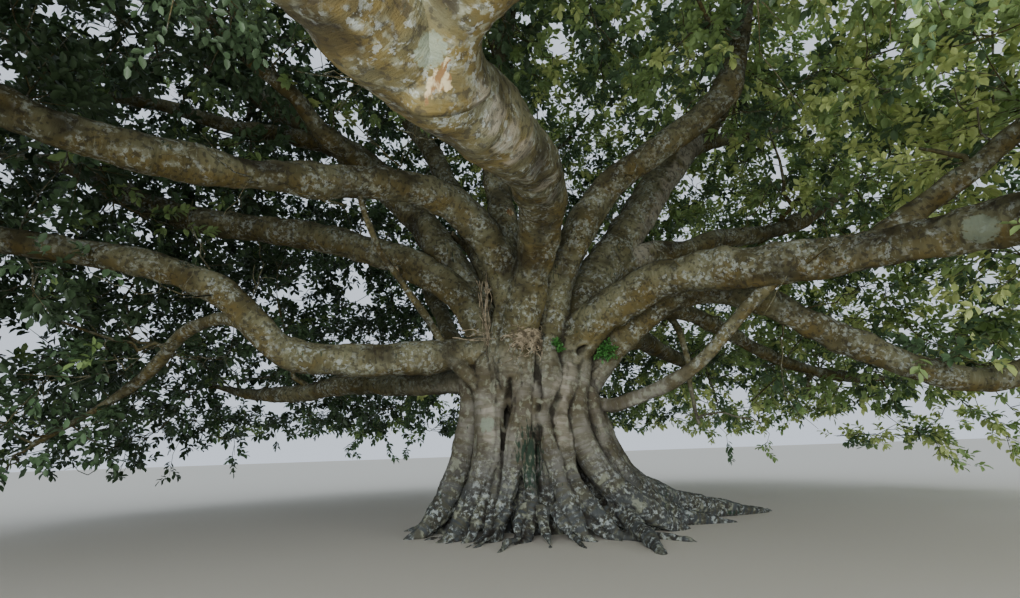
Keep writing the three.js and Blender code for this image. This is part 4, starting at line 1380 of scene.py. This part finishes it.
@dataclass
class Crown:
    """The foliage: twigs that branch by one seeded rule from each mass's stem, and leaves in sprays."""

    framework: Framework
    masses: list[Mass]
    bark: bpy.types.Material
    leaves: list[bpy.types.Material]
    spread: float = 1.13
    spacing: float = 1.12
    hollow: Pair = (0.41, 0.55)
    branches_each: int = 7
    side_shoots: int = 5
    leafy_shoots: int = 3
    bare_twigs: int = 3
    leaves_each: int = 8
    wood_clearance: float = 0.12
    rim: float = 0.55
    leaf_length: float = 0.2
    leaf_width: float = 0.58

    def __post_init__(self) -> None:
        """Gathers the wood that foliage keeps clear of."""
        runs = [Run.of(limb, spacing=0.15) for limb in
                (self.framework.core, *self.framework.stems, *self.framework.boughs.values())]
        wood_points = np.concatenate([run.points for run in runs])
        self.wood_radii = np.concatenate([run.radii for run in runs])
        self.wood = tree_of(wood_points)
        self.centres = np.array([mass.centre for mass in self.masses])

    def build(self) -> None:
        """Grows every mass and joins its leaves and twigs by sector."""
        grown = {mass.name: self.grow(i, mass) for i, mass in enumerate(self.masses)}
        for sector in Sector:
            names = [mass.name for mass in self.masses if Sector.of(mass.centre) is sector]
            if not names:
                continue
            nodes = [f"leaves_{name}" for name in names]
            shoots = np.concatenate([rows for name in names for rows in grown[name].shoots])
            mesh = mesh_from_arrays("foliage", *self.leaf_arrays(shoots))
            object_of(f"foliage_{sector.name.lower()}", mesh, self.leaves, nodes)
            lines = [line for name in names for line in grown[name].twigs]
            boughs = [line for name in names for line in grown[name].branches]
            vertices, faces = joined_tubes([*tubes_of(lines, 3), *tubes_of(boughs, 7)])
            mesh = mesh_from_arrays("twigs", vertices, faces)
            marks = dict.fromkeys(MARKS, np.zeros(len(vertices))) | {"limb": np.ones(len(vertices))}
            paint(mesh, grain=vertices, **marks)
            object_of(f"twigs_{sector.name.lower()}", mesh, [self.bark], nodes)

    @staticmethod
    def outwardness(points: np.ndarray) -> np.ndarray:
        """How near to the crown's dome points are, from 0 at its middle to 1."""
        level = np.hypot(points[:, 0], points[:, 1]) / 14.4
        return np.hypot(level, np.maximum(points[:, 2] - 4.5, 0) / 11.3)

    @staticmethod
    def underside(points: np.ndarray) -> np.ndarray:
        """How low leaves hang over each point: low at the crown's rim and under one left bough."""
        out = np.hypot(points[:, 0], points[:, 1])
        inner = 1 - np.clip((out - 11) / 1.5, 0, 1)
        left = np.clip((-points[:, 0] - 1) / 2, 0, 1) * np.clip((10 - out) / 0.8, 0, 1) * (points[:, 1] < 4.5)
        weeping = np.exp(-(np.hypot(points[:, 0] - WEEPING[0], points[:, 1] - WEEPING[1]) / WEEPING[2]) ** 4)
        return LOWEST_LEAF + (1.5 * inner + 1.5 * left) * (1 - weeping)

    @staticmethod
    def reach_in(points: np.ndarray, mass: Mass) -> np.ndarray:
        """How far out in a mass's ellipsoid points lie, counted as less where foliage closes the gaps.

        Args:
            points: Rows of x, y, z.
            mass: The mass.

        Returns:
            Shares, 1 on the ellipsoid.
        """
        share = np.linalg.norm((points - mass.centre) / mass.size, axis=1)
        for *centre, size in CLOSED:
            share = share * (1 - 0.36 * np.exp(-(np.linalg.norm(points - centre, axis=1) / size) ** 4))
        return share

    def in_space(self, points: np.ndarray, mass: Mass, share: float, margin: float) -> np.ndarray:
        """Whether points lie in a mass's own space, clear of the wood and of the ground.

        Args:
            points: Rows of x, y, z.
            mass: The mass.
            share: How much of the mass's ellipsoid counts.
            margin: How far inside the tree's box they have to be.

        Returns:
            True or False for each point.
        """
        inside = self.reach_in(points, mass) < share
        inside &= points[:, 2] > self.underside(points)
        inside &= np.linalg.norm(points - EYE, axis=1) > CLEARING
        inside &= np.all(points < CAD_HIGH - margin, axis=1)
        inside &= np.all(points[:, :2] > CAD_LOW[:2] + margin, axis=1)
        for k in np.flatnonzero(inside):
            _, index, distance = self.wood.find(points[k])
            inside[k] = distance > self.wood_radii[index] + self.wood_clearance
        return inside

    def grow(self, number: int, mass: Mass) -> Growth:
        """Grows one mass: branches from its stem, then a twig to every place in its space, nearest first.

        Args:
            number: The mass's number, which seeds its growth.
            mass: The mass.

        Returns:
            Its branches, twigs and leafy shoots.
        """
        grown = Growth(np.random.default_rng(700 + number))
        limb = self.framework.boughs[mass.name]
        outer, inner = np.linspace(0.6, 1, 12), np.linspace(0, 1, 10)
        feed = np.concatenate([limb.points(outer), mass.stem.points(inner)])
        thick = np.concatenate([limb.radii(outer), mass.stem.radii(inner)])
        supply, heads, girths = [*feed], [*unit(np.gradient(feed, axis=0))], [*(0.5 * thick)]
        goals = self._goals(mass, grown.random)
        order = np.argsort(np.linalg.norm(goals[:, None] - feed, axis=2).min(axis=1))
        step = max(1, len(goals) // self.branches_each)
        leading = set(range(len(goals) - 1, 0, -step))
        for rank in [*sorted(leading), *(k for k in range(len(goals)) if k not in leading)]:
            goal = goals[order[rank]]
            source = int(np.argmin(np.linalg.norm(np.array(supply) - goal, axis=1)))
            main = rank in leading
            line = self._curve(supply[source], heads[source], goal, 9 if main else 6, grown.random)
            start = min(girths[source], 0.11 if main else 0.035)
            radii = np.linspace(max(start, 0.014), 0.022 if main else 0.01, len(line))
            if self._dress(line, mass, grown) or main:
                (grown.branches if main else grown.twigs).append((line, radii))
                supply += [*line[2:]]
                heads += [*unit(np.gradient(line, axis=0))[2:]]
                girths += [*(0.7 * radii[2:])]
        self._bare(limb, grown)
        return grown

    def _bare(self, limb: Limb, grown: Growth) -> None:
        """Gives a bough a few crooked twigs that have lost their leaves in the crown's shade.

        Args:
            limb: The bough.
            grown: Where the twigs are added.
        """
        random = grown.random
        for share in random.uniform(0.35, 0.8, self.bare_twigs):
            start, ahead = limb.points(np.array([share, share + 0.02]))
            way = unit(0.6 * unit(ahead - start) + random.normal(size=3) * (1, 1, 0.6) + (0, 0, 0.4))
            reach = random.uniform(0.9, 1.9)
            goal = start + unit(way + random.normal(size=3) * 0.35) * reach
            line = self._curve(start, way, goal, 9, random)
            if line[:, 2].min() < 1.8 or np.linalg.norm(line - EYE, axis=1).min() < 3.5:
                continue
            line[1:] += random.normal(size=(8, 3)) * 0.025 * reach
            grown.twigs.append((line, np.linspace(0.024, 0.007, len(line))))
            for k in (3, 5, 6, 8):
                side = unit(way + random.normal(size=3) * 0.9)
                end = line[k] + side * reach * random.uniform(0.25, 0.5)
                grown.twigs.append((self._curve(line[k], side, end, 6, random), np.linspace(0.01, 0.004, 6)))

    def _goals(self, mass: Mass, random: np.random.Generator) -> np.ndarray:
        """Places spread evenly through the outer part of a mass's space.

        Args:
            mass: The mass.
            random: The stream of numbers.

        Returns:
            Rows of x, y, z.
        """
        outward = unit(random.normal(size=(5000, 3))) * random.random((5000, 1)) ** (1 / 3)
        spots = mass.centre + outward * mass.size * self.spread * 1.5
        away = np.linalg.norm(spots[:, None] - self.centres, axis=2)
        keep = self.reach_in(spots, mass) < self.spread
        keep &= np.linalg.norm(spots - mass.centre, axis=1) <= away.min(axis=1) + 1e-6
        keep &= self.outwardness(spots) > random.uniform(*self.hollow, len(spots))
        spots = spots[keep]
        spots = spots[self.in_space(spots, mass, self.spread, self.rim)]
        chosen = np.empty((0, 3))
        for spot in spots:
            thin = spot[2] > 11.5 and math.hypot(spot[0] - 1.5, spot[1] - 1.5) > 6
            gap = self.spacing * (1.25 if thin else 1)
            if np.all(np.linalg.norm(chosen - spot, axis=1) > gap):
                chosen = np.vstack([chosen, spot])
        return chosen

    @staticmethod
    def _curve(start: np.ndarray, ahead: np.ndarray, goal: np.ndarray, count: int,
               random: np.random.Generator) -> np.ndarray:
        """A line of points that leaves along a heading and bends to its goal.

        Args:
            start: Where it begins.
            ahead: The heading there.
            goal: Where it ends.
            count: How many points.
            random: The stream of numbers.

        Returns:
            Rows of x, y, z.
        """
        reach = np.linalg.norm(goal - start)
        t = np.linspace(0, 1, count)[:, None]
        handle = start + ahead * 0.4 * reach
        line = start * (1 - t) ** 2 + 2 * handle * t * (1 - t) + goal * t ** 2
        stray = random.normal(size=(count, 3)) * 0.034 * reach
        return line + stray * np.sin(np.pi * t)

    def _dress(self, line: np.ndarray, mass: Mass, grown: Growth) -> bool:
        """Gives a twig its side shoots, and each of them its leafy shoots in one spray of one colour.

        Args:
            line: The twig's points.
            mass: The mass it belongs to.
            grown: Where the shoots are added.

        Returns:
            Whether it bears any leaf.
        """
        random, count, each = grown.random, self.side_shoots, self.leafy_shoots
        if np.linalg.norm(line[-1] - EYE) < 2 * CLEARING:
            each = 2 * each - 1
        length = np.linalg.norm(line[-1] - line[0])
        first = max(0.3, 1 - 1.5 / max(length, 0.1))
        steps = (0.97 - first) * (np.arange(count - 1) + random.random(count - 1))
        spots = read_off(np.append(first + steps / count, 1.0), np.linspace(0, 1, len(line)), line)
        along = unit(line[-1] - line[0])
        outward = unit((spots - mass.centre) / mass.size)
        ways = unit(0.45 * along + 0.35 * outward + 0.6 * random.normal(size=(count, 3)) * (1, 1, 0.7))
        reach = random.uniform(0.42, 0.85, (count, 1))
        ends = spots + ways * reach + (0, 0, -0.05) * reach
        keep = self.in_space(ends, mass, self.spread * 1.12, 0.05)
        before = len(grown.shoots)
        for spot, way, end in zip(spots[keep], ways[keep], ends[keep]):
            at = np.append((np.arange(each - 1) + 0.7) / each, 1.0)[:, None]
            bases = spot + (end - spot) * at
            heads = unit(0.8 * way + 0.55 * random.normal(size=(each, 3)) + (0, 0, 0.1))
            lengths = random.uniform(0.24, 0.42, (each, 1))
            tips = bases + heads * lengths
            fits = self.in_space(tips, mass, self.spread * 1.2, -0.1)
            tint = np.full((each, 1), self._tint(end, random))
            if fits.any():
                grown.twigs.append((np.array([spot, end]), np.array([0.011, 0.005])))
                grown.shoots.append(np.hstack([bases, heads, lengths, tint])[fits])
        return len(grown.shoots) > before

    @staticmethod
    def _tint(point: np.ndarray, random: np.random.Generator) -> float:
        """Deals a colour to a spray: lighter towards the sun at the upper right, and low at the lit rim."""
        lift = max(point[2] - 6.5, 0.5 * (6.5 - point[2]))
        light = (0.55 * point[0] + 0.15 * point[1] + 0.7 * lift) / 12 + random.normal() * 0.32
        light += 0.6 * math.exp(-(np.linalg.norm(point - np.array(SUNNY)) / 3.2) ** 2)
        return float(np.digitize(light, (-0.16, 0.3, 0.68)))

    def leaf_arrays(self, rows: np.ndarray, scale: float = 1.0) -> tuple[np.ndarray, np.ndarray, np.ndarray]:
        """The leaves of many shoots, each a pointed oval of four faces folded along its midrib.

        Args:
            rows: For each shoot where it begins, its heading, its length and its spray's colour number.
            scale: How large the leaves are beside the crown's.

        Returns:
            Vertices, faces and material numbers.
        """
        random = np.random.default_rng(77)
        bases, ways, lengths = rows[:, :3], rows[:, 3:6], rows[:, 6:]
        shoots, each = len(bases), self.leaves_each
        share = 0.12 + 0.88 * (np.arange(each) + 1) / each
        turn = np.arange(each) * 2.4 + random.random((shoots, 1)) * 6.28
        side = unit(np.cross(ways, random.normal(size=(shoots, 3))))
        over = np.cross(ways, side)
        radial = side[:, None] * np.cos(turn)[..., None] + over[:, None] * np.sin(turn)[..., None]
        base = bases[:, None] + ways[:, None] * (share[None, :, None] * lengths[:, :1, None])
        spread = np.where(np.arange(each) == each - 1, 0.15, 1.0)[None, :, None]
        along = ways[:, None] * 0.75 + radial * spread + random.normal(size=radial.shape) * 0.15
        along = unit(along - (0, 0, 0.22))
        up = unit(random.normal(size=radial.shape) * 0.38 + (0, 0, 1))
        across = unit(np.cross(up, along))
        face = np.cross(along, across)
        x, y, z = np.split(base - EYE, 3, axis=2)
        unseen = (z > 1.15 * np.hypot(x, y)) | (y < 0)
        near = np.where(unseen, 1, np.clip(np.sqrt(x * x + y * y + z * z) / 12, 0.4, 1))
        length = scale * self.leaf_length * near * random.uniform(0.75, 1.2, (shoots, each, 1))
        wide = length * self.leaf_width
        outline = [(0.0, 0.0, 0.0), (0.32, 0.44, 0.07), (0.68, 0.42, 0.06), (1.0, 0.0, -0.1),
                   (0.68, -0.42, 0.06), (0.32, -0.44, 0.07)]
        corners = [base + along * (a * length) + across * (b * wide) + face * (c * length)
                   for a, b, c in outline]
        vertices = np.stack(corners, axis=2).reshape(-1, 3)
        pattern = np.array([(0, 2, 1), (0, 3, 2), (0, 4, 3), (0, 5, 4)])
        faces = (np.arange(shoots * each)[:, None, None] * 6 + pattern).reshape(-1, 3)
        numbers = np.repeat(lengths[:, 1].astype(int), each * 4)
        return vertices, faces, numbers


def tubes_of(lines: list[tuple[np.ndarray, np.ndarray]], sides: int) -> list[tuple[np.ndarray, np.ndarray]]:
    """Closed thin tubes round lines of points, grouped by how many points they have.

    Args:
        lines: Points and radii of each.
        sides: Faces round each.

    Returns:
        Vertices and triangles of each group.
    """
    made = []
    for count in sorted({len(line) for line, _ in lines}):
        points = np.array([line for line, _ in lines if len(line) == count])
        radii = np.array([radius for line, radius in lines if len(line) == count])
        tangent = unit(np.gradient(points, axis=1))
        overall = unit(points[:, -1] - points[:, 0])
        helper = np.where(np.abs(overall[:, 2:]) < 0.9, (0, 0, 1), (1, 0, 0))
        side = unit(np.cross(tangent, helper[:, None]))
        over = np.cross(tangent, side)
        turn = np.arange(sides) * 2 * math.pi / sides
        ring = side[:, :, None] * np.cos(turn)[:, None] + over[:, :, None] * np.sin(turn)[:, None]
        body = points[:, :, None] + ring * radii[:, :, None, None]
        number = len(points)
        vertices = body.reshape(-1, 3)
        each = count * sides
        faces = []
        for step, k in product(range(count - 1), range(sides)):
            a, b = step * sides + k, step * sides + (k + 1) % sides
            faces += [(a, b, b + sides), (a, b + sides, a + sides)]
        last = (count - 1) * sides
        faces += [(0, k + 1, k) for k in range(1, sides - 1)]
        faces += [(last, last + k, last + k + 1) for k in range(1, sides - 1)]
        rows = (np.arange(number)[:, None, None] * each + np.array(faces)).reshape(-1, 3)
        made.append((vertices, rows))
    return made


def joined_tubes(groups: list[tuple[np.ndarray, np.ndarray]]) -> tuple[np.ndarray, np.ndarray]:
    """Several groups of vertices and triangles as one."""
    starts = np.cumsum([0] + [len(vertices) for vertices, _ in groups])
    vertices = np.concatenate([vertices for vertices, _ in groups])
    faces = np.concatenate([faces + start for (_, faces), start in zip(groups, starts)])
    return vertices, faces


@dataclass(frozen=True)
class RootletFinish:
    """The skin of thin hanging roots: dry, fibrous and bleached, paler in patches.

    Colours are sRGB, sizes in metres.
    """

    name: str = "dry_root_fibre"
    dark: str = "5d5340"
    pale: str = "ada086"
    patch: float = 1 / 9
    fibre: float = 1 / 180

    def build(self) -> bpy.types.Material:
        """Makes the material."""
        material = new_material(self.name, {"Roughness": 0.85})
        add = partial(add_node, material.node_tree)
        spot = add(Kind.PLACE)
        patchy = add(Kind.NOISE, spot, 1 / self.patch, 3.0)
        tone = add(Kind.STEP, patchy, 0.4, 0.6, interpolation_type="LINEAR")
        colour = add(Kind.LAID, tone, linear(self.dark), linear(self.pale))
        fibres = add(Kind.NOISE, spot, 1 / self.fibre, 2.0)
        link_shader(material, colour, add(Kind.BUMP, fibres, 0.6, 0.004))
        return material


@dataclass
class FineGrowth:
    """Thin growth at the fork: a tangle of dry roots, strands that hang in a crotch, and leafy sprouts."""

    crown: Crown
    tangle: Triple = (-0.36, -1.04, 3.4)
    tangle_radius: float = 0.4
    tangle_roots: int = 80
    strands: int = 9
    sprouts: tuple[tuple[float, ...], ...] = (
        (1.31, -0.66, 3.2, 0.16, 34), (1.2, -0.7, 3.1, 0.1, 12), (0.31, -0.98, 3.32, 0.07, 9),
        (0.38, -0.95, 3.22, 0.06, 6),
    )

    def build(self) -> None:
        """Builds the roots and the sprouts as one piece each."""
        random = np.random.default_rng(31)
        lines = [self._tangled(random) for _ in range(self.tangle_roots)]
        lines += [self._hanging(random) for _ in range(self.strands)]
        lines += [self._crossing(random) for _ in range(self.strands // 2)]
        tubes = tubes_of([(line, self._girth(line, random)) for line in lines], 5)
        mesh = mesh_from_arrays("rootlets", *joined_tubes(tubes))
        object_of("hanging_rootlets", mesh, [RootletFinish().build()], ["trunk"])
        rows = []
        tint = list(Tint).index(Tint.SPROUT)
        for *centre, reach, count in self.sprouts:
            ways = unit(random.normal(size=(count, 3)) + (0, -0.8, 0.5))
            bases = centre + ways * reach * random.random((count, 1)) * 0.5
            rows.append(np.hstack([bases, ways, np.full((count, 1), reach), np.full((count, 1), tint)]))
        mesh = mesh_from_arrays("sprouts", *self.crown.leaf_arrays(np.concatenate(rows), 0.4))
        object_of("leafy_sprouts", mesh, self.crown.leaves, ["trunk"])

    def _tangled(self, random: np.random.Generator) -> np.ndarray:
        """One root that winds over the front of the column below the fork."""
        turn = math.radians(random.uniform(-92, -30)) + np.cumsum(random.normal(size=7)) * 0.2
        drop = random.uniform(-0.02, 0.14) - np.cumsum(random.normal(0.02, 0.055, 7))
        out = self.tangle_radius + random.uniform(0.0, 0.05, 7)
        x, y, z = self.tangle
        rough = np.stack([x + out * np.cos(turn), y + out * np.sin(turn), z + drop], axis=1)
        return self._softened(rough)

    def _hanging(self, random: np.random.Generator) -> np.ndarray:
        """One strand that hangs from the long bough to the crotch below it."""
        top = random.uniform((-1.12, -1.12, 4.3), (-0.9, -0.98, 4.8))
        foot = random.uniform((-1.08, -1.08, 3.0), (-0.88, -0.92, 3.35))
        share = np.linspace(0, 1, 7)[:, None]
        sway = random.normal(size=(7, 3)) * (0.035, 0.02, 0.02)
        return self._softened(top + (foot - top) * share + sway)

    def _crossing(self, random: np.random.Generator) -> np.ndarray:
        """One root that runs level from the low bough across the crotch."""
        height = random.uniform(3.45, 3.8)
        left = np.array([random.uniform(-1.65, -1.3), random.uniform(-1.28, -1.15), height - 0.03])
        right = np.array([random.uniform(-0.95, -0.75), -1.12, height + random.normal() * 0.08])
        share = np.linspace(0, 1, 7)[:, None]
        return self._softened(left + (right - left) * share + random.normal(size=(7, 3)) * 0.025)

    @staticmethod
    def _softened(rough: np.ndarray) -> np.ndarray:
        """Thirteen points of a smooth line through a rough one of seven."""
        smooth = read_off(np.linspace(0, 6, 13), np.arange(7), rough)
        smooth[1:-1] = (smooth[:-2] + 2 * smooth[1:-1] + smooth[2:]) / 4
        return smooth

    @staticmethod
    def _girth(line: np.ndarray, random: np.random.Generator) -> np.ndarray:
        """A radius for each point of a root, thinner towards its end."""
        return np.linspace(1, 0.5, len(line)) * random.uniform(0.006, 0.012)


@dataclass
class Studio:
    """The camera that stands where the photograph was taken, a pale floor and soft light.

    Each light has a name, a place, what it faces, its width and height, its power in watts, and how wide it
    shines in degrees.
    """

    lights: tuple[tuple[Any, ...], ...] = (
        ("key_light", (-3.5, -27.0, 6.0), (0.0, -1.0, 3.6), (12.0, 7.0), 5200.0, 180.0),
        ("fill_light", (17.0, -18.0, 5.0), (1.0, -1.0, 3.4), (10.0, 6.0), 2600.0, 180.0),
        ("bough_light", (-1.5, -10.6, 0.7), (-0.7, -7.0, 4.3), (3.0, 2.0), 62.0, 75.0),
    )

    def build(self) -> None:
        """Sets up the camera, the floor, the lights and the pale surroundings."""
        self._camera()
        self._floor()
        for row in self.lights:
            self._light(*row)
        world = bpy.data.worlds.new("pale_surroundings")
        bpy.context.scene.world = world
        world.use_nodes = True
        background = world.node_tree.nodes["Background"]
        background.inputs["Color"].default_value = linear("d9e3f0")
        background.inputs["Strength"].default_value = 1.15

    @staticmethod
    def _camera() -> None:
        """Places the camera by the photograph's measured pitch, roll and focal length."""
        pitch, roll = math.radians(PITCH), math.radians(ROLL)
        ahead = Vector((0, math.cos(pitch), math.sin(pitch)))
        level_up = Vector((0, -math.sin(pitch), math.cos(pitch)))
        level_right = Vector((1, 0, 0))
        right = level_right * math.cos(roll) - level_up * math.sin(roll)
        up = level_right * math.sin(roll) + level_up * math.cos(roll)
        lens = bpy.data.cameras.new("camera")
        lens.sensor_fit = "HORIZONTAL"
        lens.sensor_width = 36.0
        lens.lens = 36.0 * FOCAL_PIXELS / PICTURE[0]
        lens.clip_end = 400.0
        camera = bpy.data.objects.new("camera", lens)
        bpy.context.scene.collection.objects.link(camera)
        turn = Matrix((right, up, -ahead)).transposed().to_4x4()
        camera.matrix_world = Matrix.Translation(Vector(EYE)) @ turn
        bpy.context.scene.camera = camera

    @staticmethod
    def _floor() -> None:
        """Lays the pale floor."""
        made = bmesh.new()
        bmesh.ops.create_grid(made, x_segments=1, y_segments=1, size=150.0)
        mesh = bpy.data.meshes.new("floor")
        made.to_mesh(mesh)
        made.free()
        floor = bpy.data.objects.new("floor", mesh)
        bpy.context.scene.collection.objects.link(floor)
        mesh.materials.append(new_material("pale_floor_paint", {"Base Color": linear("cfcabd"),
                                                                "Roughness": 0.9}))
        floor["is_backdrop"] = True

    @staticmethod
    def _light(name: str, where: Triple, towards: Triple, size: Pair, power: float, beam: float) -> None:
        """Hangs one soft rectangular light.

        Args:
            name: Its name.
            where: Its place.
            towards: What it faces.
            size: Its width and height.
            power: Its power in watts.
            beam: How wide it shines, in degrees.
        """
        lamp = bpy.data.lights.new(name, "AREA")
        lamp.shape = "RECTANGLE"
        lamp.size, lamp.size_y = size
        lamp.energy = power
        lamp.spread = math.radians(beam)
        light = bpy.data.objects.new(name, lamp)
        bpy.context.scene.collection.objects.link(light)
        turn = (Vector(towards) - Vector(where)).to_track_quat("-Z", "Y").to_matrix().to_4x4()
        light.matrix_world = Matrix.Translation(Vector(where)) @ turn
        light.visible_camera = False


def main() -> None:
    """Builds the tree piece by piece and the studio round it."""
    logging.basicConfig(level=logging.INFO, format="%(message)s")
    framework = Framework()
    masses = {plan.name: Mass.of(plan, framework.boughs[plan.name]) for plan in BOUGHS if plan.mass}
    bark = Trunk(framework, BarkFinish()).build()
    for number, plan in enumerate(BOUGHS):
        mesh = Bough(plan, framework, masses.get(plan.name), number).mesh()
        object_of(f"bark_{plan.name}", mesh, [bark], [f"bough_{plan.name}"])
    for number, (parent, start, leaves, tip, ends, girth) in enumerate(SPURS):
        limb = Limb(np.array(start), heading(leaves), np.array(tip), heading(ends), (0.35, 0.35), girth, 0.05,
                    400 + number)
        mesh = Skin(Run.of(limb), girth[0], 60 + number, 0.03).mesh()
        object_of(f"bark_spur_{number}", mesh, [bark], [f"bough_{parent}"])
    crown = Crown(framework, list(masses.values()), bark, [tint.value.build() for tint in Tint])
    crown.build()
    FineGrowth(crown).build()
    Studio().build()
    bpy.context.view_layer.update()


if __name__ == "__main__":
    main()
